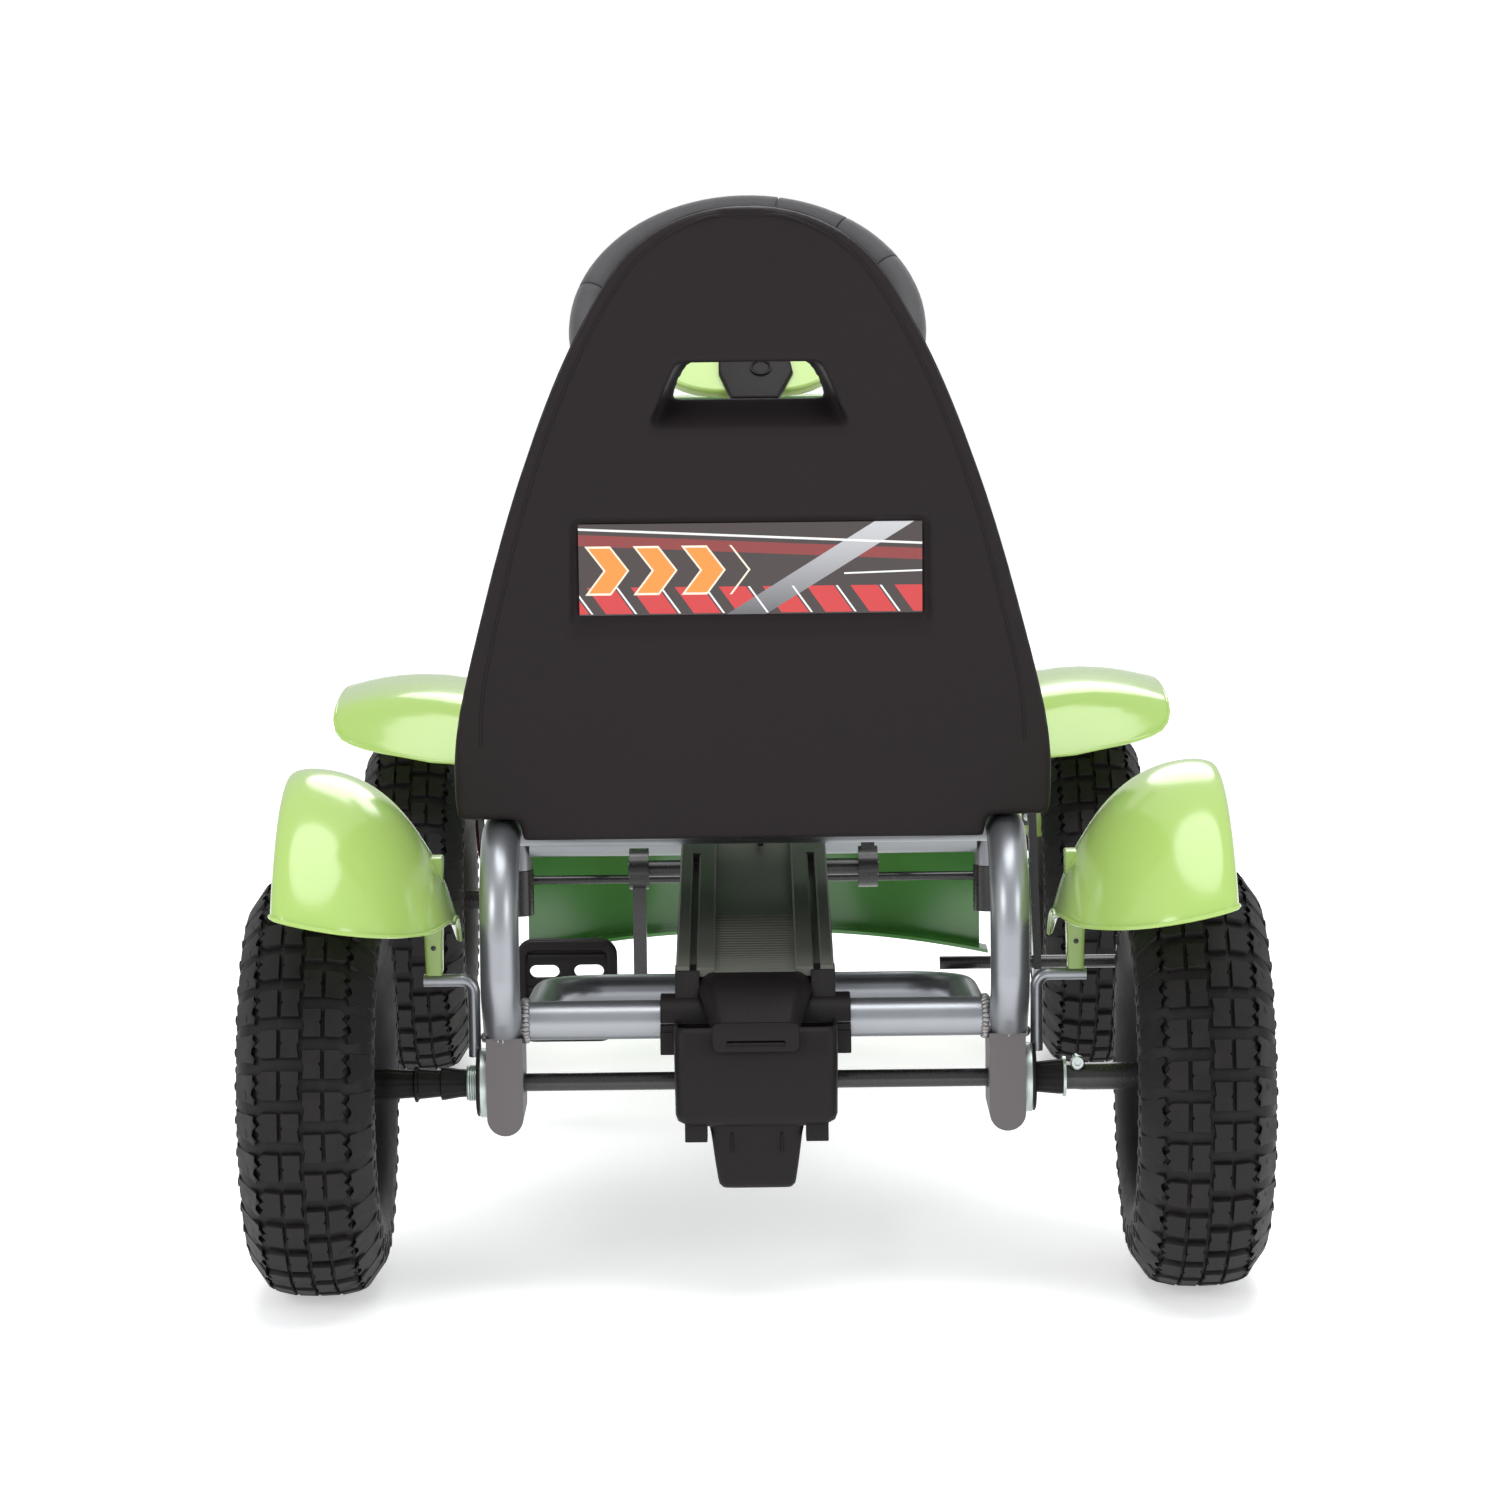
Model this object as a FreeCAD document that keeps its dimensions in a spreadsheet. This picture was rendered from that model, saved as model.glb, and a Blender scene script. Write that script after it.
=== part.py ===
# Pedal go kart: a parametric document, one object for each separate piece.
# Millimetres. +Y is forward, +X is the driver's right, +Z is up. The origin is on the
# ground under the middle of the kart.
import FreeCAD, Part
import math
import os
import re
import Sketcher

Vector = FreeCAD.Vector
doc = FreeCAD.newDocument("PedalKart")
sheet = doc.addObject("Spreadsheet::Sheet", "Sizes")

SIZES = (
    # wheels and axles
    ("wheelbase", 820), ("rear_axle_y", -435), ("rear_track", 630), ("front_track", 594),
    ("tyre_diameter", 304), ("tyre_width", 90), ("rim_diameter", 152), ("rim_width", 62),
    ("tyre_wall", 6), ("sheet_steel", 3), ("hub_radius", 19), ("hub_length", 74),
    ("axle_radius", 6.5), ("running_gap", 0.05), ("fit_gap", 0.4), ("stub_radius", 6),
    ("kingpin_radius", 6), ("kingpin_inset", 88), ("kingpin_x", "=front_track / 2 - kingpin_inset"),
    ("kingpin_sleeve_height", 50),
    # frame
    ("tube_radius", 14), ("tube_wall", 2), ("crossbar_y", -450), ("crossbar_z", 200),
    ("front_beam_z", 204), ("rail_x", 181), ("seat_rail_z", 331), ("rail_bend", 65),
    ("rail_front_y", -150), ("rail_bulge", 35), ("hoop_front_y", -200), ("hoop_front_z", 176),
    ("hoop_radius", 12), ("hoop_bend", 45), ("hoop_x", "=rail_x - tube_radius - hoop_radius + 3"),
    ("spine_x", 39), ("spine_width", 18), ("spine_height", 38),
    ("spine_z", 185), ("bracket_width", 26), ("bracket_depth", 62), ("bracket_top", 190),
    ("bracket_bottom", 119), ("bearing_radius", 24), ("bearing_thickness", 6),
    # drive
    ("crank_y", 100), ("crank_z", 223), ("crank_radius", 7), ("crank_arm", 118),
    ("crank_arm_x", 95), ("chain_pitch", 12.7), ("front_teeth", 28), ("rear_teeth", 14),
    ("chain_plate", 1.2), ("chain_height", 9), ("chain_gap", 5), ("tooth_thickness", 3),
    ("pedal_x", 156.5), ("pedal_width", 81), ("pedal_height", 116), ("pedal_thickness", 18),
    # seat
    ("seat_bottom", 345), ("seat_top", 780), ("seat_back_y", -450), ("seat_lean", 60),
    ("seat_back_depth", 34), ("seat_front_y", -110), ("seat_pan_depth", 42),
    ("seat_half_width", 207), ("seat_skirt", 15), ("seat_skirt_half", 161),
    ("handle_z", 624), ("handle_height", 46),
    ("handle_half_width", 64), ("badge_z", 492), ("badge_height", 66), ("badge_width", 242),
    ("badge_recess", 7), ("badge_thickness", 2),
    # steering
    ("steering_hub_y", -45), ("steering_hub_z", 676), ("steering_angle", 45),
    ("steering_ring", 129), ("steering_grip", 12), ("column_radius", 9),
    ("column_length", 690), ("steering_arm", 50), ("tie_rod_z", 161), ("fork_gap", 13),
    ("tie_rod_radius", 4),
    # guards and panels
    ("guard_half_width", 57), ("guard_wall", 2.5), ("guard_rear_y", -505),
    ("box_half_width", 59), ("box_bottom", 135), ("box_corner", 10), ("box_foot", 14),
    ("tongue_bottom", 82), ("tongue_half_width", 28),
    ("rear_fender_radius", 179), ("rear_fender_rise", 49.6), ("fender_wall", 2.5),
    ("fender_leg_x", "=rear_track / 2 - 84"), ("fender_trim_z", 282), ("fender_trim_slope", 14),
    ("stay_z", 226), ("fender_rear_angle", 57), ("fender_front_angle", 50),
    ("front_fender_z", 352), ("nose_y", 584.5), ("nose_half_width", 205),
    ("nose_bottom", 91), ("nose_top", 300), ("nose_bend", 120),
    # brake
    ("brake_y", -232), ("brake_z", 200), ("brake_radius", 5), ("brake_lever_x", 212),
    ("brake_pad_back", 40), ("brake_pad_up", 14), ("brake_pad_radius", 13), ("stay_radius", 4.5),
)
for row, (alias, value) in enumerate(SIZES, start=1):
    sheet.set(f"A{row}", alias)
    sheet.set(f"B{row}", str(value))
    sheet.setAlias(f"B{row}", alias)
doc.recompute()
NAMES = {alias for alias, _ in SIZES}


# ---- small helpers ---------------------------------------------------------------------
def bound(words):
    """Turn a sum of size names, such as "rail_x - 2", into a sheet expression."""
    return re.sub(r"[a-z_]+", lambda m: f"Sizes.{m[0]}" if m[0] in NAMES else m[0], str(words))


def size(words):
    """The number that a sum of size names has now."""
    return float(sheet.evalExpression(bound(words)))


def place(obj, x, y, z, axis=(1, 0, 0), degrees=0):
    obj.Placement = FreeCAD.Placement(Vector(0, 0, 0), FreeCAD.Rotation(Vector(*axis), degrees))
    for letter, words in zip("xyz", (x, y, z)):
        obj.setExpression(f"Placement.Base.{letter}", bound(words))
    return obj


def box(name, x, y, z, width, depth, height):
    """A box centred in X, with its rear face at y and its underside at z."""
    obj = doc.addObject("Part::Box", name)
    for prop, words in (("Length", width), ("Width", depth), ("Height", height)):
        obj.setExpression(prop, bound(words))
    return place(obj, f"{x} - ({width}) / 2", y, z)


TURN = {"x": ((0, 1, 0), 90), "y": ((1, 0, 0), -90), "z": ((1, 0, 0), 0)}


def rod(name, axis, x, y, z, radius, length):
    """A cylinder that starts at a point and runs along +X, +Y or +Z."""
    obj = doc.addObject("Part::Cylinder", name)
    obj.setExpression("Radius", bound(radius))
    obj.setExpression("Height", bound(length))
    return place(obj, x, y, z, *TURN[axis])


def ring(name, axis, x, y, z, outer, inner, length):
    """A round tube that starts at a point and runs along +X, +Y or +Z."""
    start = {"x": (f"{x} - 1", y, z), "y": (x, f"{y} - 1", z), "z": (x, y, f"{z} - 1")}[axis]
    return cut(name, rod(name + "_outer", axis, x, y, z, outer, length),
               rod(name + "_bore", axis, *start, inner, f"{length} + 2"))


def cut(name, base, *tools):
    for number, tool in enumerate(tools):
        last = number == len(tools) - 1
        obj = doc.addObject("Part::Cut", name if last else f"{name}_cut_{number}")
        obj.Base, obj.Tool = base, tool
        base = obj
    return base


def fuse(name, *pieces):
    obj = doc.addObject("Part::MultiFuse", name)
    obj.Shapes = list(pieces)
    return obj


def group(name, *pieces):
    """Several separate solids, such as a set of bolts, kept in one node."""
    obj = doc.addObject("Part::Compound", name)
    obj.Links = list(pieces)
    return obj


def feature(name, shape):
    obj = doc.addObject("Part::Feature", name)
    obj.Shape = shape
    return obj


def rounded_path(points, bends):
    """A wire of straight runs through the points, joined by tangent arcs."""
    edges, start = [], points[0]
    for before, corner, after, bend in zip(points, points[1:], points[2:], bends):
        back = (before - corner).normalize()
        ahead = (after - corner).normalize()
        half = back.getAngle(ahead) / 2
        reach = bend / math.tan(half)
        enter, leave = corner + back * reach, corner + ahead * reach
        middle = corner + (back + ahead).normalize() * (bend / math.sin(half) - bend)
        if (enter - start).Length > 0.001:
            edges.append(Part.LineSegment(start, enter).toShape())
        edges.append(Part.Arc(enter, middle, leave).toShape())
        start = leave
    edges.append(Part.LineSegment(start, points[-1]).toShape())
    return Part.Wire(edges)


def pipe(points, radius, bends, wall=None):
    """A bent round bar, or a bent tube where a wall is given. One bend for each corner."""
    points = [Vector(*p) for p in points]
    path = rounded_path(points, bends)

    def bar(r):
        face = Part.Wire(Part.Circle(points[0], points[1] - points[0], r).toShape())
        return path.makePipeShell([face], True, False)
    return bar(radius) if wall is None else bar(radius).cut(bar(radius - wall))


def polygon(points):
    return Part.Wire(Part.makePolygon([Vector(*p) for p in list(points) + [points[0]]]))


def smooth(points, closing=()):
    """A wire through the points as one curve, closed by straight runs."""
    curve = Part.BSplineCurve()
    curve.interpolate([Vector(*p) for p in points])
    rest = [points[-1]] + list(closing) + [points[0]]
    lines = [Part.LineSegment(Vector(*a), Vector(*b)).toShape() for a, b in zip(rest, rest[1:])]
    return Part.Wire([curve.toShape()] + lines)


# Pieces made by PartDesign: a body, a sketch on one of its origin planes, a feature.
def body_sketch(name, role, points):
    """A body with one closed outline, each corner held by two sizes of the sheet."""
    body = doc.addObject("PartDesign::Body", name)
    plane = [item for item in body.Origin.OriginFeatures if item.Role == role][0]
    sketch = body.newObject("Sketcher::SketchObject", name + "_outline")
    sketch.AttachmentSupport, sketch.MapMode = [(plane, "")], "FlatFace"
    corners = [Vector(size(x), size(y), 0) for x, y in points]
    for a, b in zip(corners, corners[1:] + corners[:1]):
        sketch.addGeometry(Part.LineSegment(a, b), False)
    count = len(corners)
    for number in range(count):
        follow = (number + 1) % count
        sketch.addConstraint(Sketcher.Constraint("Coincident", number, 2, follow, 1))
    for number, pair in enumerate(points):
        for kind, words, value in zip(("DistanceX", "DistanceY"), pair, corners[number]):
            made = sketch.addConstraint(Sketcher.Constraint(kind, -1, 1, number, 1, value))
            sketch.setExpression(f"Constraints[{made}]", bound(words))
    return body, sketch


def turned(name, points):
    """A round piece: the outline of (X, radius) corners turned about the X axis."""
    body, sketch = body_sketch(name, "XY_Plane", points)
    feature = body.newObject("PartDesign::Revolution", name + "_turn")
    feature.Profile, feature.ReferenceAxis, feature.Angle = sketch, (sketch, ["H_Axis"]), 360
    return body


def circle_plate(name, radius, thickness, teeth, root):
    """A toothed wheel about the X axis: a pad and one tooth repeated round it."""
    body = doc.addObject("PartDesign::Body", name)
    planes = {item.Role: item for item in body.Origin.OriginFeatures}
    disc = body.newObject("Sketcher::SketchObject", name + "_disc")
    disc.AttachmentSupport, disc.MapMode = [(planes["YZ_Plane"], "")], "FlatFace"
    disc.addGeometry(Part.Circle(Vector(0, 0, 0), Vector(0, 0, 1), size(root)), False)
    disc.addConstraint(Sketcher.Constraint("Coincident", 0, 3, -1, 1))
    made = disc.addConstraint(Sketcher.Constraint("Radius", 0, size(root)))
    disc.setExpression(f"Constraints[{made}]", bound(root))
    pad = body.newObject("PartDesign::Pad", name + "_plate")
    pad.Profile, pad.SideType = disc, "Symmetric"
    pad.setExpression("Length", bound(thickness))
    tooth = body.newObject("Sketcher::SketchObject", name + "_tooth")
    tooth.AttachmentSupport, tooth.MapMode = [(planes["YZ_Plane"], "")], "FlatFace"
    base, tip = "chain_pitch / 4", "chain_pitch / 9"
    points = ((f"0 - {base}", f"{root} - 1"), (base, f"{root} - 1"), (tip, radius),
              (f"0 - {tip}", radius))
    corners = [Vector(size(x), size(y), 0) for x, y in points]
    for a, b in zip(corners, corners[1:] + corners[:1]):
        tooth.addGeometry(Part.LineSegment(a, b), False)
    for number in range(4):
        tooth.addConstraint(Sketcher.Constraint("Coincident", number, 2, (number + 1) % 4, 1))
    for number, pair in enumerate(points):
        for kind, words, value in zip(("DistanceX", "DistanceY"), pair, corners[number]):
            made = tooth.addConstraint(Sketcher.Constraint(kind, -1, 1, number, 1, value))
            tooth.setExpression(f"Constraints[{made}]", bound(words))
    one = body.newObject("PartDesign::Pad", name + "_one_tooth")
    one.Profile, one.SideType = tooth, "Symmetric"
    one.setExpression("Length", bound(thickness))
    doc.recompute()
    pattern = body.newObject("PartDesign::PolarPattern", name + "_teeth")
    pattern.Originals, pattern.Axis = [one], (disc, ["N_Axis"])
    pattern.Angle = 360
    pattern.setExpression("Occurrences", bound(teeth))
    body.Tip = pattern
    return body


AXLE_Z = "tyre_diameter / 2"
REAR_Y = "rear_axle_y"
FRONT_Y = "rear_axle_y + wheelbase"
SIDES = (("left", -1), ("right", 1))
NODES = []


def keep(obj):
    """Mark an object as a finished piece, whose Label names its file."""
    NODES.append(obj)
    return obj


# ---- frame: tubes, brackets and bearings -------------------------------------------------
def seat_rail(side, wall):
    """Along under the seat, round a large bend at the back and down to the axle bracket."""
    x, top = side * size("rail_x"), size("seat_rail_z")
    foot_y, foot_z = size("rear_axle_y"), size("bracket_top")
    back, bend = size("crossbar_y") - size("rail_bulge"), size("rail_bend")
    points = [(x, size("rail_front_y"), top), (x, back, top), (x, back, foot_z + bend / 2),
              (x, foot_y, foot_z - size("tube_radius"))]
    tube = pipe(points, size("tube_radius"), (bend, bend / 2), wall)
    reach = 3 * size("tube_radius")
    below = Part.makeBox(2 * reach, 2 * reach, reach,
                         Vector(x - reach, foot_y - reach, foot_z - reach))
    return tube.cut(below)


rail_bars = []
for side_name, side in SIDES:
    keep(feature(f"seat_rail_{side_name}", seat_rail(side, size("tube_wall"))))
    rail_bars.append(feature(f"seat_rail_room_{side_name}", seat_rail(side, None)))

# A cross tube ties the two rails under the front of the seat.
cross_long = "2 * rail_x + 40"
keep(ring("seat_cross_tube", "x", f"0 - ({cross_long}) / 2", "hoop_front_y",
          "seat_rail_z - 2 * tube_radius", "tube_radius", "tube_radius - tube_wall", cross_long))

# The rear crossbar is cut to the round of the seat rails that it is welded between.
crossbar = ring("crossbar_blank", "x", "0 - rail_x", "crossbar_y", "crossbar_z", "tube_radius",
                "tube_radius - tube_wall", "2 * rail_x")
keep(cut("rear_crossbar", crossbar, *rail_bars))

# The hoop runs forward from the crossbar, across in front of the chain's case and back.
hoop_x, hoop_y, hoop_z = size("hoop_x"), size("hoop_front_y"), size("hoop_front_z")
hoop_back, back_z = size("crossbar_y"), size("crossbar_z") - 2
hoop = pipe([(-hoop_x, hoop_back, back_z), (-hoop_x, hoop_y, hoop_z), (hoop_x, hoop_y, hoop_z),
             (hoop_x, hoop_back, back_z)], size("hoop_radius"), (size("hoop_bend"), size("hoop_bend")),
            size("tube_wall"))
crossbar_room = rod("crossbar_room", "x", "0 - rail_x", "crossbar_y", "crossbar_z", "tube_radius",
                    "2 * rail_x")
keep(cut("hoop_tube", feature("hoop_blank", hoop), crossbar_room, *rail_bars))

# Spine rails run each side of the chain, from the rear crossbar to the front beam.
spine_start, spine_end = "crossbar_y + tube_radius", f"{FRONT_Y} - tube_radius"
for side_name, side in SIDES:
    solid = box(f"spine_bar_{side_name}", f"{side} * spine_x", spine_start,
                "spine_z - spine_height / 2", "spine_width", f"{spine_end} - ({spine_start})",
                "spine_height")
    hollow = box(f"spine_hollow_{side_name}", f"{side} * spine_x", f"{spine_start} - 1",
                 "spine_z - spine_height / 2 + tube_wall", "spine_width - 2 * tube_wall",
                 f"{spine_end} - ({spine_start}) + 2", "spine_height - 2 * tube_wall")
    hoop_way = rod(f"spine_hoop_way_{side_name}", "x", f"{side} * spine_x - 20", "hoop_front_y",
                   "hoop_front_z", "hoop_radius", "40")
    keep(cut(f"spine_rail_{side_name}", solid, hollow, hoop_way))

# Front beam with an upright sleeve for a kingpin at each end.
sleeve_z = "front_beam_z - kingpin_sleeve_height / 2"
sleeve_out = "kingpin_radius + 6"
beam = ring("beam_tube", "x", f"0 - kingpin_x + {sleeve_out} - 2", FRONT_Y, "front_beam_z",
            "tube_radius", "tube_radius - tube_wall", f"2 * (kingpin_x - ({sleeve_out}) + 2)")
sleeves, sleeve_bores = [], []
for side_name, side in SIDES:
    sleeves.append(rod(f"sleeve_{side_name}", "z", f"{side} * kingpin_x", FRONT_Y, sleeve_z,
                       sleeve_out, "kingpin_sleeve_height"))
    sleeve_bores.append(rod(f"sleeve_bore_{side_name}", "z", f"{side} * kingpin_x", FRONT_Y,
                            f"{sleeve_z} - 1", "kingpin_radius + running_gap",
                            "kingpin_sleeve_height + 2"))
keep(cut("front_beam", fuse("front_beam_blank", beam, *sleeves), *sleeve_bores))

# Rear axle brackets: channels open to the front, with a hole for the axle.
for side_name, side in SIDES:
    middle = f"{side} * (rail_x - 1)"
    web_y = "rear_axle_y - bracket_depth / 2"
    block = box(f"bracket_block_{side_name}", middle, web_y, "bracket_bottom", "bracket_width",
                "bracket_depth", "bracket_top - bracket_bottom")
    inside = box(f"bracket_inside_{side_name}", middle, f"{web_y} + sheet_steel",
                 "bracket_bottom - 1", "bracket_width - 2 * sheet_steel", "bracket_depth",
                 "bracket_top - bracket_bottom - sheet_steel + 1")
    hole = rod(f"bracket_hole_{side_name}", "x", f"{middle} - bracket_width", REAR_Y, AXLE_Z,
               "axle_radius + 1.5", "2 * bracket_width")
    round_end = rod(f"bracket_round_{side_name}", "y", middle, web_y,
                    "bracket_bottom + bracket_width / 2", "bracket_width / 2", "bracket_depth")
    upper = box(f"bracket_upper_{side_name}", middle, web_y, "bracket_bottom + bracket_width / 2",
                "bracket_width", "bracket_depth", "bracket_top")
    outline = fuse(f"bracket_outline_{side_name}", round_end, upper)
    channel = cut(f"bracket_channel_{side_name}", block, inside, hole)
    bracket = doc.addObject("Part::Common", f"bearing_bracket_{side_name}")
    bracket.Base, bracket.Tool = channel, outline
    keep(bracket)

BEARING_X = "rail_x - 1 + bracket_width / 2"
rear_bearings = [ring(f"bearing_{side_name}", "x", start, REAR_Y, AXLE_Z, "bearing_radius",
                      "axle_radius + running_gap", "bearing_thickness")
                 for side_name, start in (("left", f"0 - ({BEARING_X}) - bearing_thickness"),
                                          ("right", BEARING_X))]
keep(group("rear_bearings", *rear_bearings))

# Crank bearings: a block on top of each spine rail.
crank_blocks = []
for side_name, side in SIDES:
    foot = box(f"crank_foot_{side_name}", f"{side} * spine_x", "crank_y - 20",
               "spine_z + spine_height / 2", "spine_width", "40",
               "crank_z - spine_z - spine_height / 2")
    eye = rod(f"crank_eye_{side_name}", "x", f"{side} * spine_x - spine_width / 2", "crank_y",
              "crank_z", "crank_radius + 9", "spine_width")
    bore = rod(f"crank_bore_{side_name}", "x", f"{side} * spine_x - spine_width", "crank_y",
               "crank_z", "crank_radius + running_gap", "2 * spine_width")
    crank_blocks.append(cut(f"crank_block_{side_name}",
                            fuse(f"crank_solid_{side_name}", foot, eye), bore))
keep(group("crank_bearings", *crank_blocks))


# ---- drive: axle, sprockets, chain, crank and pedals ---------------------------------------
axle_half = "rear_track / 2 + hub_length / 2 + 8"
keep(rod("rear_axle", "x", f"0 - ({axle_half})", REAR_Y, AXLE_Z, "axle_radius",
         f"2 * ({axle_half})"))

FRONT_PITCH = "(chain_pitch / 2 / sin(180 / front_teeth))"
REAR_PITCH = "(chain_pitch / 2 / sin(180 / rear_teeth))"


def sprocket(name, teeth, pitch, shaft, y, z):
    wheel = circle_plate(name + "_wheel", f"{pitch} + 2", "tooth_thickness", teeth, f"{pitch} - 4")
    place(wheel, "0", y, z)
    hub = rod(name + "_hub", "x", "0 - 11", y, z, f"{shaft} + 7", "22")
    bore = rod(name + "_bore", "x", "0 - 12", y, z, shaft, "24")
    return cut(name, fuse(name + "_solid", wheel, hub), bore)


keep(sprocket("rear_sprocket", "rear_teeth", REAR_PITCH, "axle_radius", REAR_Y, AXLE_Z))
keep(sprocket("front_sprocket", "front_teeth", FRONT_PITCH, "crank_radius", "crank_y", "crank_z"))


def chain_outline(offset):
    """The loop of a belt round both sprockets, moved outward by an offset, at X = 0."""
    rear = Vector(0, size("rear_axle_y"), size(AXLE_Z))
    front = Vector(0, size("crank_y"), size("crank_z"))
    small, large = size(REAR_PITCH) + offset, size(FRONT_PITCH) + offset
    run = front - rear
    along = run.normalize()
    lift = math.asin((large - small) / (front - rear).Length)
    up = Vector(0, -along.z, along.y)

    def at(centre, radius, angle):
        return centre + (along * math.cos(angle) + up * math.sin(angle)) * radius
    top, low = math.pi / 2 + lift, -math.pi / 2 - lift
    back, fore = math.pi, 0
    return Part.Wire([
        Part.Arc(at(rear, small, top), at(rear, small, back), at(rear, small, low)).toShape(),
        Part.LineSegment(at(rear, small, low), at(front, large, low)).toShape(),
        Part.Arc(at(front, large, low), at(front, large, fore), at(front, large, top)).toShape(),
        Part.LineSegment(at(front, large, top), at(rear, small, top)).toShape()])


def chain_run(sign):
    """The two ends of the upper (+1) or lower (-1) straight run of the chain."""
    wire = chain_outline(0)
    lines = [edge for edge in wire.Edges if isinstance(edge.Curve, Part.Line)]
    lines.sort(key=lambda edge: sign * edge.CenterOfMass.z)
    return [vertex.Point for vertex in lines[-1].Vertexes]


def drive_chain():
    """Side plates all the way round, with rollers along the two straight runs."""
    half = size("chain_height") / 2
    gap, thick, pitch = size("chain_gap"), size("chain_plate"), size("chain_pitch")
    band = Part.Face(chain_outline(half)).cut(Part.Face(chain_outline(-half)))
    pieces = []
    for x in (gap / 2, -gap / 2 - thick):
        strip = band.extrude(Vector(thick, 0, 0))
        strip.translate(Vector(x, 0, 0))
        pieces.append(strip)
    for sign in (1, -1):
        start, end = chain_run(sign)
        count = int((end - start).Length / pitch) - 3
        step = (end - start).normalize() * pitch
        for number in range(2, count):
            spot = start + step * number
            pieces.append(Part.makeCylinder(pitch / 4, gap + thick, spot - Vector((gap + thick) / 2, 0, 0),
                                            Vector(1, 0, 0)))
    return pieces[0].fuse(pieces[1:])


keep(feature("drive_chain", drive_chain()))

keep(rod("crank_axle", "x", "0 - crank_arm_x - 9", "crank_y", "crank_z", "crank_radius",
         "2 * crank_arm_x + 18"))
PEDAL_PIN = 5
for side_name, side in SIDES:
    # The left arm hangs down at rest and the right arm stands up.
    head = rod(f"arm_head_{side_name}", "x", f"{side} * crank_arm_x - 8", "crank_y", "crank_z",
               "17", "16")
    eye_z = f"crank_z + {side} * crank_arm"
    eye = rod(f"arm_eye_{side_name}", "x", f"{side} * crank_arm_x - 6", "crank_y", eye_z, "11", "12")
    low = "0 - crank_arm" if side < 0 else "0"
    web = box(f"arm_web_{side_name}", f"{side} * crank_arm_x", "crank_y - 7.5", f"crank_z + {low}",
              "11", "15", "crank_arm")
    pin_start = f"{side} * crank_arm_x" if side > 0 else "0 - pedal_x - pedal_width / 2 - 4"
    pin = rod(f"pedal_pin_{side_name}", "x", pin_start, "crank_y", eye_z, str(PEDAL_PIN),
              "pedal_x + pedal_width / 2 + 4 - crank_arm_x")
    bore = rod(f"arm_bore_{side_name}", "x", f"{side} * crank_arm_x - 12", "crank_y", "crank_z",
               "crank_radius", "24")
    keep(cut(f"crank_arm_{side_name}", fuse(f"arm_solid_{side_name}", head, eye, web, pin), bore))

    # Pedal: an upright foot plate with two oval windows and a bored boss on the pin.
    slab = box(f"pedal_slab_{side_name}", f"{side} * pedal_x", "crank_y - pedal_thickness / 2",
               f"{eye_z} - pedal_height / 2", "pedal_width", "pedal_thickness", "pedal_height")
    windows = [rod(f"pedal_window_{side_name}_{place_name}", "y",
                   f"{side} * pedal_x + {sign} * pedal_width / 5", "crank_y - pedal_thickness",
                   f"{eye_z} + {high} * pedal_height / 4", "pedal_width / 8", "2 * pedal_thickness")
               for place_name, sign, high in (("a", 1, 1), ("b", -1, 1), ("c", 1, -1), ("d", -1, -1))]
    pin_way = rod(f"pedal_bore_{side_name}", "x", f"{side} * pedal_x - pedal_width", "crank_y", eye_z,
                  f"{PEDAL_PIN} + running_gap", "2 * pedal_width")
    keep(cut(f"pedal_{side_name}", slab, *windows, pin_way))

# Sleeves, collars and washers that space the wheels off the bearings.
collar_start = f"{BEARING_X} + bearing_thickness + fit_gap"
hub_start = "rear_track / 2 - hub_length / 2 - fit_gap"
spacers = [
    ring("left_collar", "x", f"0 - ({collar_start}) - 9", REAR_Y, AXLE_Z, "13", "axle_radius", "9"),
    ring("left_sleeve", "x", f"0 - ({hub_start})", REAR_Y, AXLE_Z, "11", "axle_radius",
         f"({hub_start}) - ({collar_start}) - 9"),
    ring("right_cone", "x", collar_start, REAR_Y, AXLE_Z, "12", "axle_radius", "22"),
    ring("right_washer", "x", f"{collar_start} + 22", REAR_Y, AXLE_Z, "16", "axle_radius", "2"),
    ring("right_sleeve", "x", f"{collar_start} + 24", REAR_Y, AXLE_Z, "10", "axle_radius",
         f"rear_track / 2 - hub_length / 2 - ({collar_start}) - 24"),
]
keep(group("axle_sleeves", *spacers))
nut_start = "rear_track / 2 + hub_length / 2"
nuts = [ring(f"axle_nut_{side_name}", "x", start, REAR_Y, AXLE_Z, "11", "axle_radius", "7")
        for side_name, start in (("left", f"0 - ({nut_start}) - fit_gap - 7"),
                                 ("right", nut_start))]
keep(group("axle_nuts", *nuts))


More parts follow.
